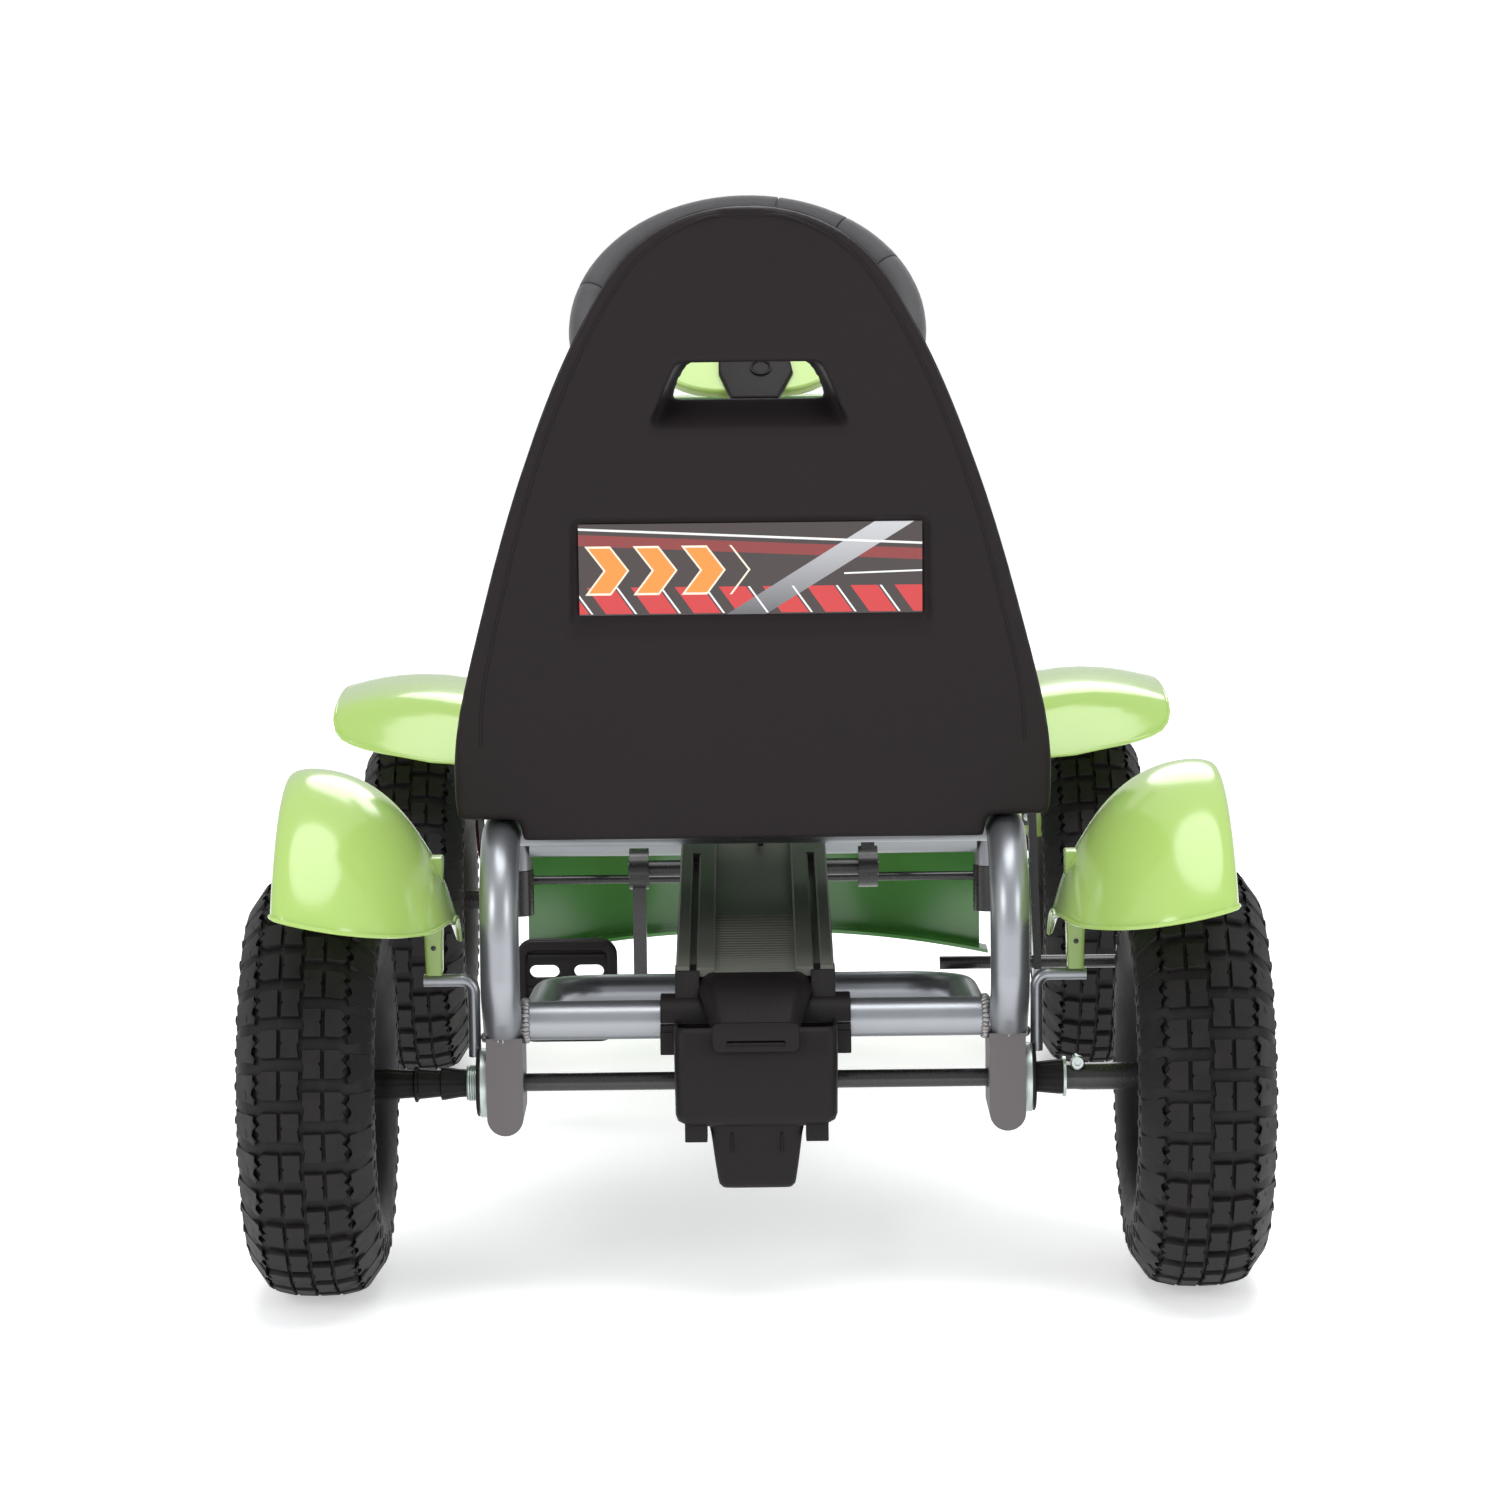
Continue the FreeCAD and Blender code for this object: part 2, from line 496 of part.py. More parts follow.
# ---- wheels ----------------------------------------------------------------------------------
TYRE_OUT, RIM_OUT = "tyre_diameter / 2", "rim_diameter / 2"
TYRE_PROFILE = (
    ("0 - rim_width / 2 + 2", RIM_OUT), ("0 - rim_width / 2 - 1", f"{RIM_OUT} + 10"),
    ("0 - tyre_width / 2", f"{RIM_OUT} + 34"), ("0 - tyre_width / 2", f"{TYRE_OUT} - 26"),
    ("0 - tyre_width / 2 + 4", f"{TYRE_OUT} - 12"), ("0 - tyre_width / 2 + 13", f"{TYRE_OUT} - 3"),
    ("0 - tyre_width / 2 + 24", TYRE_OUT), ("tyre_width / 2 - 24", TYRE_OUT),
    ("tyre_width / 2 - 13", f"{TYRE_OUT} - 3"), ("tyre_width / 2 - 4", f"{TYRE_OUT} - 12"),
    ("tyre_width / 2", f"{TYRE_OUT} - 26"), ("tyre_width / 2", f"{RIM_OUT} + 34"),
    ("rim_width / 2 + 1", f"{RIM_OUT} + 10"), ("rim_width / 2 - 2", RIM_OUT),
    ("rim_width / 2 - 2 - tyre_wall", RIM_OUT), ("rim_width / 2 - 4 - tyre_wall", f"{RIM_OUT} + 12"),
    ("tyre_width / 2 - tyre_wall", f"{RIM_OUT} + 36"), ("tyre_width / 2 - tyre_wall", f"{TYRE_OUT} - 26"),
    ("tyre_width / 2 - 24", f"{TYRE_OUT} - tyre_wall - 4"),
    ("24 - tyre_width / 2", f"{TYRE_OUT} - tyre_wall - 4"),
    ("tyre_wall - tyre_width / 2", f"{TYRE_OUT} - 26"), ("tyre_wall - tyre_width / 2", f"{RIM_OUT} + 36"),
    ("tyre_wall + 4 - rim_width / 2", f"{RIM_OUT} + 12"), ("tyre_wall + 2 - rim_width / 2", RIM_OUT),
)
# The rim's bed is the outline's top, the dished disc joins it to the hub's seat.
RIM_PROFILE = (
    ("0 - rim_width / 2 - 2", f"{RIM_OUT} + 7"), ("0 - rim_width / 2 - 2", f"{RIM_OUT} - 6"),
    ("2", f"{RIM_OUT} - 10"), ("4", "hub_radius + 22"), ("10", "hub_radius + 14"),
    ("10", "hub_radius"), ("10 + sheet_steel", "hub_radius"), ("10 + sheet_steel", "hub_radius + 16"),
    ("4 + sheet_steel", "hub_radius + 25"), ("2 + sheet_steel", f"{RIM_OUT} - 10"),
    ("rim_width / 2 + 2", f"{RIM_OUT} - 6"), ("rim_width / 2 + 2", f"{RIM_OUT} + 7"),
    ("rim_width / 2", f"{RIM_OUT} + 7"), ("rim_width / 2", f"{RIM_OUT}"),
    ("0 - rim_width / 2", f"{RIM_OUT}"), ("0 - rim_width / 2", f"{RIM_OUT} + 7"),
)
HUB_PROFILE = (
    ("0 - hub_length / 2", "bore"), ("0 - hub_length / 2", "hub_radius - 4"),
    ("0", "hub_radius - 2"), ("0", "hub_radius"), ("22", "hub_radius"), ("22", "hub_radius - 2"),
    ("hub_length / 2", "hub_radius - 4"), ("hub_length / 2", "bore"),
)


def wheel(where, side, x, y, bore, loose_hub):
    """A tyre and a rim; the hub is a piece of its own, or one with the rim."""
    made = {}
    for kind, profile in (("tyre", TYRE_PROFILE), ("rim", RIM_PROFILE), ("hub", HUB_PROFILE)):
        outline = [(a if side > 0 else f"0 - ({a})", b.replace("bore", bore)) for a, b in profile]
        label = f"{kind}_{where}" if loose_hub or kind == "tyre" else f"{kind}_{where}_blank"
        made[kind] = place(turned(label, outline), f"{side} * {x}", y, AXLE_Z)
    keep(made["tyre"])
    if loose_hub:
        keep(made["rim"])
        keep(made["hub"])
    else:
        keep(fuse(f"rim_{where}", made["rim"], made["hub"]))


for side_name, side in SIDES:
    fixed = "axle_radius" if side > 0 else "axle_radius + running_gap"
    wheel(f"rear_{side_name}", side, "rear_track / 2", REAR_Y, fixed, False)
    wheel(f"front_{side_name}", side, "front_track / 2", FRONT_Y, "stub_radius + running_gap", True)


# ---- steering --------------------------------------------------------------------------------
knuckle_top = f"{sleeve_z} - fit_gap"
for side_name, side in SIDES:
    x = f"{side} * kingpin_x"
    pin = rod(f"kingpin_{side_name}", "z", x, FRONT_Y, f"{AXLE_Z} - 14", "kingpin_radius",
              f"{sleeve_z} + kingpin_sleeve_height + 10 - {AXLE_Z} + 14")
    nut = rod(f"kingpin_nut_{side_name}", "z", x, FRONT_Y,
              f"{sleeve_z} + kingpin_sleeve_height + fit_gap", "11", "7")
    block = rod(f"knuckle_block_{side_name}", "z", x, FRONT_Y, f"{AXLE_Z} - 14", "13",
                f"{knuckle_top} - {AXLE_Z} + 14")
    stub_end = "front_track / 2 + hub_length / 2 + 10 - kingpin_x"
    stub = rod(f"stub_{side_name}", "x", x if side > 0 else f"0 - kingpin_x - ({stub_end})", FRONT_Y,
               AXLE_Z, "stub_radius", stub_end)
    shoulder_long = "front_track / 2 - hub_length / 2 - fit_gap - kingpin_x"
    shoulder = rod(f"stub_shoulder_{side_name}", "x",
                   x if side > 0 else f"0 - kingpin_x - ({shoulder_long})", FRONT_Y, AXLE_Z,
                   "stub_radius + 3", shoulder_long)
    arm = box(f"steering_arm_bar_{side_name}", x, FRONT_Y, f"{AXLE_Z} - 6", "14", "steering_arm", "6")
    arm_eye = rod(f"steering_arm_eye_{side_name}", "z", x, f"{FRONT_Y} + steering_arm",
                  f"{AXLE_Z} - 6", "9", "6")
    ball_pin = rod(f"steering_pin_{side_name}", "z", x, f"{FRONT_Y} + steering_arm", f"{AXLE_Z} - 6",
                   "4", "22")
    nut_x = "front_track / 2 + hub_length / 2 + fit_gap"
    stub_nut = rod(f"stub_nut_{side_name}", "x", nut_x if side > 0 else f"0 - ({nut_x}) - 7", FRONT_Y,
                   AXLE_Z, "11", "7")
    keep(fuse(f"knuckle_{side_name}", pin, nut, block, stub, shoulder, arm, arm_eye, ball_pin,
              stub_nut))

# Column, drop arm and wheel are square to the column's own axis, so they are made along +Z
# from the wheel's middle and then leaned forward as one.
lean = FreeCAD.Placement(Vector(0, size("steering_hub_y"), size("steering_hub_z")),
                         FreeCAD.Rotation(Vector(1, 0, 0), 90 - size("steering_angle")))


def leaned(name, shape):
    shape.Placement = lean.multiply(shape.Placement)
    return feature(name, shape)


def upright(radius, low, high, x=0, y=0):
    return Part.makeCylinder(radius, high - low, Vector(x, y, low))


column, column_end = size("column_radius"), -size("column_length")
arm_reach = size("steering_arm")
ball_radius = size("fork_gap") / 2 - 0.2
drop_arm = Part.makeBox(4, arm_reach, 6, Vector(-2, 0, column_end)).fuse(
    Part.makeSphere(ball_radius, Vector(0, arm_reach, column_end + 3)))
keep(leaned("steering_column", upright(column, column_end, -12).fuse(drop_arm)))

# The tie rod turns on the left pin. Its right eye has room round the pin, and a fork on its
# middle holds the drop arm's ball between two cheeks.
tie_y, tie_z, king_x = size(FRONT_Y) + arm_reach, size("tie_rod_z"), size("kingpin_x")
ball = lean.multVec(Vector(0, arm_reach, column_end + 3))
tie_parts = [Part.makeCylinder(size("tie_rod_radius"), 2 * king_x - 18,
                               Vector(9 - king_x, tie_y, tie_z), Vector(1, 0, 0))]
for _, side in SIDES:
    tie_parts.append(Part.makeCylinder(11, 10, Vector(side * king_x, tie_y, tie_z - 5)))
    cheek = Part.Face(polygon([(0, y, z) for y, z in (
        (tie_y - 6, tie_z - 5), (ball.y + 12, tie_z - 5), (ball.y + 12, ball.z + 9),
        (ball.y - 4, ball.z + 9), (ball.y - 4, tie_z + 6), (tie_y - 6, tie_z + 6))]))
    cheek = cheek.extrude(Vector(3, 0, 0))
    cheek.translate(Vector(side * (size("fork_gap") / 2 + 1.5) - 1.5, 0, 0))
    tie_parts.append(cheek)
tie_rod = tie_parts[0].fuse(tie_parts[1:])
for x, room in ((-king_x, 4 + size("running_gap")), (king_x, 5)):
    tie_rod = tie_rod.cut(Part.makeCylinder(room, 12, Vector(x, tie_y, tie_z - 6)))
keep(feature("tie_rod", tie_rod))

ring_radius, grip = size("steering_ring"), size("steering_grip")
keep(leaned("steering_grip_ring", Part.makeTorus(ring_radius, grip).cut(
    Part.makeTorus(ring_radius, 5))))
spokes = [Part.makeTorus(ring_radius, 5), upright(30, -12, -4)]
for number in range(3):
    spoke = Part.makeBox(ring_radius - 20, 24, 6, Vector(20, -12, -11))
    spoke = spoke.common(upright(ring_radius, -20, 0))
    spoke.rotate(Vector(0, 0, 0), Vector(0, 0, 1), 30 + 120 * number)
    link = upright(4, -9, 0, ring_radius - 4, 0)
    link.rotate(Vector(0, 0, 0), Vector(0, 0, 1), 30 + 120 * number)
    spokes += [spoke, link]
keep(leaned("steering_spokes", spokes[0].fuse(spokes[1:])))
keep(leaned("steering_cap", upright(26, -4, 10)))

# A sleeve low on the column and one half way up hold it; both stand on the front frame.
low_sleeve, high_sleeve = -size("column_length") + 42, -size("column_length") / 2
holder = []
for level in (low_sleeve, high_sleeve):
    sleeve = upright(column + 5, level - 15, level + 15).cut(
        upright(column + size("running_gap"), level - 20, level + 20))
    sleeve.Placement = lean.multiply(sleeve.Placement)
    holder.append(sleeve)
front_y, beam_z = size(FRONT_Y), size("front_beam_z")
high_spot = lean.multVec(Vector(0, -column - 5, high_sleeve))
low_spot = lean.multVec(Vector(0, 0, low_sleeve))
bore = upright(column + size("running_gap"), low_sleeve - 60, high_sleeve + 60)
bore.Placement = lean.multiply(bore.Placement)
beam_way = Part.makeCylinder(size("tube_radius"), 100, Vector(-50, front_y, beam_z), Vector(1, 0, 0))
block_start, block_end = sorted((front_y, low_spot.y))
low_block = Part.makeBox(30, block_end - block_start + 16, 30,
                         Vector(-15, block_start, beam_z - 14)).cut(beam_way)
spine_top = size("spine_z") + size("spine_height") / 2
for x in (-20, 20):
    strut = pipe([(x, front_y - 30, spine_top + 6), (x, front_y - 150, high_spot.z - 90),
                  (x / 2, high_spot.y, high_spot.z)], 7, (60,))
    holder.append(strut)
tie_plate = Part.makeBox(86, 34, 6, Vector(-43, front_y - 44, spine_top)).cut(beam_way)
stand = holder[0].fuse(holder[1:] + [low_block, tie_plate]).cut(bore).cut(beam_way)
keep(feature("steering_stand", stand))


# ---- seat ------------------------------------------------------------------------------------
def seat_shell():
    """One blow-moulded shell: the side view swept across, kept inside the rear outline."""
    bottom, top, back = size("seat_bottom"), size("seat_top"), size("seat_back_y")
    pan_top, front = bottom + size("seat_pan_depth"), size("seat_front_y")
    depth, lean_back, half = size("seat_back_depth"), size("seat_lean"), size("seat_half_width")
    side_view = Part.Wire(Part.makePolygon([Vector(0, y, z) for y, z in (
        (back, bottom), (back - lean_back, top), (back - lean_back + depth, top),
        (back + depth + 18, pan_top + 60), (back + depth + 50, pan_top), (front - 60, pan_top),
        (front, pan_top + 14), (front + 2, bottom + 18), (front - 14, bottom), (back, bottom))]))
    swept = Part.Face(side_view).extrude(Vector(2 * half, 0, 0))
    swept.translate(Vector(-half, 0, 0))
    rise = top - bottom
    right = [(half - 2, bottom), (half, bottom + 0.04 * rise), (half * 0.97, bottom + 0.2 * rise),
             (half * 0.92, bottom + 0.31 * rise), (half * 0.81, bottom + 0.515 * rise),
             (half * 0.685, bottom + 0.685 * rise), (half * 0.55, bottom + 0.82 * rise),
             (half * 0.4, bottom + 0.925 * rise), (half * 0.2, bottom + 0.985 * rise), (0, top)]
    outline = [(x, back - 200, z) for x, z in right] + [(-x, back - 200, z) for x, z in right[-2::-1]]
    arch = Part.Face(smooth(outline)).extrude(Vector(0, front - back + 400, 0))
    shell = swept.common(arch)
    handle_top, handle_bottom = size("handle_z") + size("handle_height"), size("handle_z")
    wide = size("handle_half_width")
    hole = Part.Face(polygon([(x, back - 200, z) for x, z in (
        (-wide, handle_bottom), (wide, handle_bottom), (wide - 22, handle_top),
        (22 - wide, handle_top))])).extrude(Vector(0, 300, 0))
    shell = shell.cut(hole)
    skirt_half, skirt = size("seat_skirt_half"), size("seat_skirt")
    shell = shell.fuse(Part.makeBox(2 * skirt_half, depth, skirt + 5,
                                    Vector(-skirt_half, back, bottom - skirt)))
    return shell.cut(badge_slab(size("badge_recess"), 2))


def badge_slab(depth, room):
    """A slab let into the seat's leaning back, this deep from its rear face."""
    width, tall = size("badge_width") + room, size("badge_height") + room
    lean_angle = math.degrees(math.atan2(size("seat_lean"), size("seat_top") - size("seat_bottom")))
    slab = Part.makeBox(width, depth + 20, tall, Vector(-width / 2, -20, -tall / 2))
    slab.rotate(Vector(0, 0, 0), Vector(1, 0, 0), lean_angle)
    middle = size("badge_z") + size("badge_height") / 2
    rise = (middle - size("seat_bottom")) / (size("seat_top") - size("seat_bottom"))
    slab.translate(Vector(0, size("seat_back_y") - size("seat_lean") * rise, middle))
    return slab


keep(feature("seat_shell", seat_shell()))
badge_deep = badge_slab(size("badge_recess"), 0).cut(
    badge_slab(size("badge_recess") - size("badge_thickness"), 20))
keep(feature("seat_badge", badge_deep))

bolt_spots = [(f"{side} * rail_x", y) for _, side in SIDES
              for y in ("rail_front_y - 60", "crossbar_y + 90")]
bolts = []
for number, (x, y) in enumerate(bolt_spots):
    head_z = "seat_rail_z - tube_radius - 6"
    head = rod(f"seat_bolt_head_{number}", "z", x, y, head_z, "7", "6")
    shank = rod(f"seat_bolt_shank_{number}", "z", x, y, head_z, "3", "2 * tube_radius + 20")
    bolts.append(fuse(f"seat_bolt_{number}", head, shank))
keep(group("seat_bolts", *bolts))


# ---- chain guard and rear box -------------------------------------------------------------
def guard_line(inset):
    """Side view of the guard's top, from the crossbar to round the crank."""
    top = size("crank_z") + 72 - inset
    return [(size("guard_rear_y") + 62, size("crossbar_z") + 32 - inset),
            (size("crossbar_y") + 115, size("crossbar_z") + 46 - inset),
            (size("crank_y") - 90, top - 13), (size("crank_y"), top),
            (size("crank_y") + 55 - inset / 2, top - 22), (size("crank_y") + 78 - inset, size("crank_z"))]


def guard_solid(inset, half_width):
    line = [(0, y, z) for y, z in guard_line(inset)]
    low = size("spine_z") + size("spine_height") / 2 + size("fit_gap")
    face = Part.Face(smooth(line, [(0, line[-1][1], low - (5 if inset else 0)),
                                   (0, line[0][1], low - (5 if inset else 0))]))
    solid = face.extrude(Vector(2 * half_width, 0, 0))
    solid.translate(Vector(-half_width, 0, 0))
    return solid


guard_half, wall = size("guard_half_width"), size("guard_wall")
guard = guard_solid(0, guard_half).cut(guard_solid(wall, guard_half - wall))
crank_hole = Part.makeCylinder(size("crank_radius") + 12, 4 * guard_half,
                               Vector(-2 * guard_half, size("crank_y"), size("crank_z")), Vector(1, 0, 0))
crank_slot = Part.makeBox(4 * guard_half, 2 * size("crank_radius") + 24, 60,
                          Vector(-2 * guard_half, size("crank_y") - size("crank_radius") - 12,
                                 size("crank_z") - 60))
keep(feature("chain_guard", guard.cut(crank_hole).cut(crank_slot)))


def tapered(wide, narrow, rear_top, rear_low, front, high, low):
    """A block that narrows downward, given by its half widths and its rear faces."""
    rings = [polygon([(-half, rear, z), (half, rear, z), (half, end, z), (-half, end, z)])
             for half, rear, end, z in ((wide, rear_top, front, high),
                                        (narrow, rear_low, front - 20, low))]
    return Part.makeLoft(rings, True, True)


def rear_box():
    """Box round the rear sprocket: clamped on the crossbar, its tongue under the chain."""
    half, rear, corner = size("box_half_width"), size("guard_rear_y"), size("box_corner")
    bottom, bar_y, bar_z = size("box_bottom"), size("crossbar_y"), size("crossbar_z")
    front, top, tube = rear + 61, bar_z + 28, size("tube_radius")
    body = Part.makeBox(2 * half, front - rear, top - bottom, Vector(-half, rear, bottom))
    body = body.makeFillet(corner, [
        edge for edge in body.Edges
        if abs(edge.CenterOfMass.y - rear) < 1
        or (abs(edge.CenterOfMass.z - bottom) < 1 and abs(edge.CenterOfMass.x) > half - 1)])
    hollow = Part.makeBox(2 * (half - wall), front - rear, top - bottom - 2 * wall - 2,
                          Vector(-half + wall, rear + wall + 4, bottom + wall + 2))
    narrow, low, foot = size("tongue_half_width"), size("tongue_bottom"), size("box_foot")
    tongue = tapered(narrow + 5, narrow, rear + 12, rear + 20, front + 60, bottom + 3, low)
    scoop = tapered(narrow + 3, narrow - 3, rear + 15, rear + 23, front + 110, bottom + 30, low + 3)
    feet = [Part.makeBox(16, 22, foot + corner, Vector(x, rear + 8, bottom - foot))
            for x in (-narrow - 24, narrow + 8)]
    clamp_half = half + 10
    clamp = Part.makeCylinder(tube + 3, 2 * clamp_half, Vector(-clamp_half, bar_y, bar_z), Vector(1, 0, 0))
    bar = Part.makeCylinder(tube + size("running_gap"), 4 * half, Vector(-2 * half, bar_y, bar_z),
                            Vector(1, 0, 0))
    room, axle_y, axle_z = size("axle_radius") + 4, size("rear_axle_y"), size(AXLE_Z)
    axle = Part.makeCylinder(room, 4 * half, Vector(-2 * half, axle_y, axle_z), Vector(1, 0, 0))
    axle_slot = Part.makeBox(4 * half, 200, 2 * room, Vector(-2 * half, axle_y, axle_z - room))
    ahead = Part.makeBox(4 * half, 300, 300, Vector(-2 * half, front + 45, 0))
    shell = body.cut(hollow).fuse([clamp, tongue] + feet).cut(scoop)
    return shell.cut([ahead, bar, axle, axle_slot])


keep(feature("rear_chain_box", rear_box()))
keep(box("guard_latch", "0", "guard_rear_y - 5", "crossbar_z - 12", "72", "5", "20"))


# ---- fenders ----------------------------------------------------------------------------------
def rear_fender(name, side):
    """A shell turned part of the way round: flat over the tyre, curving down inside it."""
    radius, wall = size("rear_fender_radius"), size("fender_wall")
    track, half = size("rear_track") / 2, size("tyre_width") / 2
    inner = track - half - 55

    def section(inset):
        return [(track + 19 - inset, radius - 11), (track + 15 - inset * 0.7, radius - 3 - inset * 0.7),
                (track + 2, radius - inset), (track - 30, radius - 7 - inset),
                (track - half - 18, radius - 33 - inset), (inner + 12 + inset / 2, radius - 74 - inset / 2),
                (inner + inset, radius - 108)]
    outer = [(side * x, 0, z) for x, z in section(0)]
    inside = [(side * x, 0, z) for x, z in section(wall)]
    outer_curve, inner_curve = Part.BSplineCurve(), Part.BSplineCurve()
    outer_curve.interpolate([Vector(*p) for p in outer])
    inner_curve.interpolate([Vector(*p) for p in inside])
    ends = [Part.LineSegment(Vector(*outer[-1]), Vector(*inside[-1])).toShape(),
            Part.LineSegment(Vector(*outer[0]), Vector(*inside[0])).toShape()]
    wire = Part.Wire(Part.__sortEdges__([outer_curve.toShape(), inner_curve.toShape()] + ends))
    face = Part.Face(wire)
    face.rotate(Vector(0, 0, 0), Vector(1, 0, 0), size("fender_rear_angle"))
    shell = face.revolve(Vector(0, 0, 0), Vector(1, 0, 0),
                         -size("fender_rear_angle") - size("fender_front_angle"))
    shell.translate(Vector(0, size("rear_axle_y"), size(AXLE_Z) + size("rear_fender_rise")))
    # The rear edge is trimmed straight across, falling towards the kart's middle.
    trim = Part.makeBox(2 * track, 2 * radius, radius, Vector(-track, -2 * radius, -radius))
    trim.rotate(Vector(0, 0, 0), Vector(0, 1, 0), -side * size("fender_trim_slope"))
    trim.translate(Vector(side * (inner + 26), size("rear_axle_y"), size("fender_trim_z")))
    shell = shell.cut(trim)
    leg_x, stay_z = size("fender_leg_x"), size("stay_z")
    low = stay_z + size("stay_radius")
    leg = Part.makeBox(14, 22, 2 * radius, Vector(side * leg_x - 7, size("rear_axle_y") - 3, low))
    under = [Part.LineSegment(a, b).toShape() for a, b in (
        (Vector(*outer[0]), Vector(outer[0][0], 0, 0)), (Vector(outer[0][0], 0, 0),
         Vector(outer[-1][0], 0, 0)), (Vector(outer[-1][0], 0, 0), Vector(*outer[-1])))]
    dome = Part.Face(Part.Wire(Part.__sortEdges__([outer_curve.toShape()] + under)))
    dome = dome.revolve(Vector(0, 0, 0), Vector(1, 0, 0), 360)
    dome.translate(Vector(0, size("rear_axle_y"), size(AXLE_Z) + size("rear_fender_rise")))
    return feature(name, shell.fuse(leg.common(dome)))


stays = []
for side_name, side in SIDES:
    keep(rear_fender(f"rear_fender_{side_name}", side))
    rail, foot_y = size("rail_x"), size("rear_axle_y") + 8
    leg_x, stay_z = size("fender_leg_x"), size("stay_z")
    stay = pipe([(side * (rail + size("bracket_width") / 2 + 9), foot_y, size("bracket_top") - 20),
                 (side * (rail + size("bracket_width") / 2 + 9), foot_y, stay_z),
                 (side * (leg_x + 8), foot_y, stay_z)], size("stay_radius"), (9,))
    stays.append(feature(f"fender_stay_{side_name}", stay))
    # Front fenders ride on the knuckles: a leaf over the tyre and an arm to the kingpin.
    top, track, front = size("front_fender_z"), size("front_track") / 2, size(FRONT_Y)
    leaf_points = [(-150, -52), (-95, -5), (0, 0), (95, -8), (150, -46)]
    upper = [Vector(0, front + y, top + z) for y, z in leaf_points]
    lower = [point - Vector(0, 0, size("fender_wall")) for point in upper]
    curves = []
    for row in (upper, lower):
        curve = Part.BSplineCurve()
        curve.interpolate(row)
        curves.append(curve.toShape())
    sides = [Part.LineSegment(upper[end], lower[end]).toShape() for end in (0, -1)]
    leaf_x, crown = side * (track - 1), 220
    leaf = Part.Face(Part.Wire(Part.__sortEdges__(curves + sides)))
    leaf.translate(Vector(leaf_x, 0, 0))
    leaf.rotate(Vector(leaf_x, 0, top - crown), Vector(0, 1, 0), -20)
    leaf = leaf.revolve(Vector(leaf_x, 0, top - crown), Vector(0, 1, 0), 40)
    plan = Part.Face(smooth([(leaf_x + side * x, front + y, top - 90) for x, y in (
        (-64, -95), (-50, -130), (-20, -149), (10, -148), (35, -128), (54, -95), (62, -45),
        (64, 0), (61, 60), (48, 108), (20, 141), (-14, 148), (-44, 126), (-60, 84),
        (-64, 40))])).extrude(Vector(0, 0, 120))
    arm = pipe([(side * (size("kingpin_x") + 12), front, size(AXLE_Z) + 12),
                (side * (size("kingpin_x") + 34), front - 60, size(AXLE_Z) + 60),
                (side * (size("kingpin_x") + 34), front - 60, top - 34),
                (side * (track + 10), front - 60, top - 4)], 5, (18, 16))
    keep(feature(f"front_fender_{side_name}", leaf.common(plan).fuse(arm)))
keep(group("fender_stays", *stays))


# ---- nose ------------------------------------------------------------------------------------
def nose_band(low, high, half, inset, lip):
    """A wall that follows the nose's round plan from one side to the other."""
    tip, bend, wall = size("nose_y") - inset, size("nose_bend"), size("fender_wall")

    def plan(offset):
        return [Vector(x * half, tip - offset - bend * (abs(x) * half / nose_half) ** 2.2, low)
                for x in (-1, -0.8, -0.55, -0.28, 0, 0.28, 0.55, 0.8, 1)]
    front, back = Part.BSplineCurve(), Part.BSplineCurve()
    front.interpolate(plan(0))
    back.interpolate(plan(wall + lip))
    ends = [Part.LineSegment(plan(0)[end], plan(wall + lip)[end]).toShape() for end in (0, -1)]
    wire = Part.Wire(Part.__sortEdges__([front.toShape(), back.toShape()] + ends))
    return Part.Face(wire).extrude(Vector(0, 0, high - low))


nose_low, nose_high, nose_half = size("nose_bottom"), size("nose_top"), size("nose_half_width")
lower_wall = nose_band(nose_low, nose_high, nose_half, 0, 0)
splitter = nose_band(nose_low, nose_low + 3, nose_half + 6, size("fender_wall") / 2, 26)
keep(feature("nose_panel", lower_wall.fuse(splitter)))


def nose_shield():
    """A tall shield before the column: wide at the nose, narrow below the wheel."""
    wall, front = size("fender_wall"), size("nose_y") - 8
    levels = ((nose_high + 1, nose_half - 12, front, 90), (430, 150, front - 130, 70),
              (545, 112, front - 290, 52), (612, 92, front - 395, 40))

    def loft(inset):
        wires = []
        for z, half, tip, bend in levels:
            row = [Vector(x * (half - inset), tip - inset - bend * abs(x) ** 2.2, z)
                   for x in (-1, -0.6, 0, 0.6, 1)]
            curve = Part.BSplineCurve()
            curve.interpolate(row)
            back = [Vector(row[-1].x, row[-1].y - 6, z), Vector(row[0].x, row[0].y - 6, z)]
            lines = [Part.LineSegment(a, b).toShape() for a, b in
                     ((row[-1], back[0]), (back[0], back[1]), (back[1], row[0]))]
            wires.append(Part.Wire([curve.toShape()] + lines))
        return Part.makeLoft(wires, True, False)
    inner = loft(wall)
    inner.translate(Vector(0, -2 * wall, -0.5))
    return loft(0).cut(inner)


keep(feature("nose_shield", nose_shield()))

# Two bars carry the nose on the front beam.
nose_bars = []
for side_name, side in SIDES:
    start_y = size(FRONT_Y) + size("tube_radius")
    tip = size("nose_y") - size("nose_bend") * (140 / nose_half) ** 2.2 - size("fender_wall")
    bar = pipe([(side * 140, start_y, beam_z), (side * 140, tip - 12, beam_z),
                (side * 140, tip - 12, beam_z + 70)], 6, (14,))
    nose_bars.append(bar)
keep(group("nose_bars", *[feature(f"nose_bar_{n}", bar) for n, bar in enumerate(nose_bars)]))


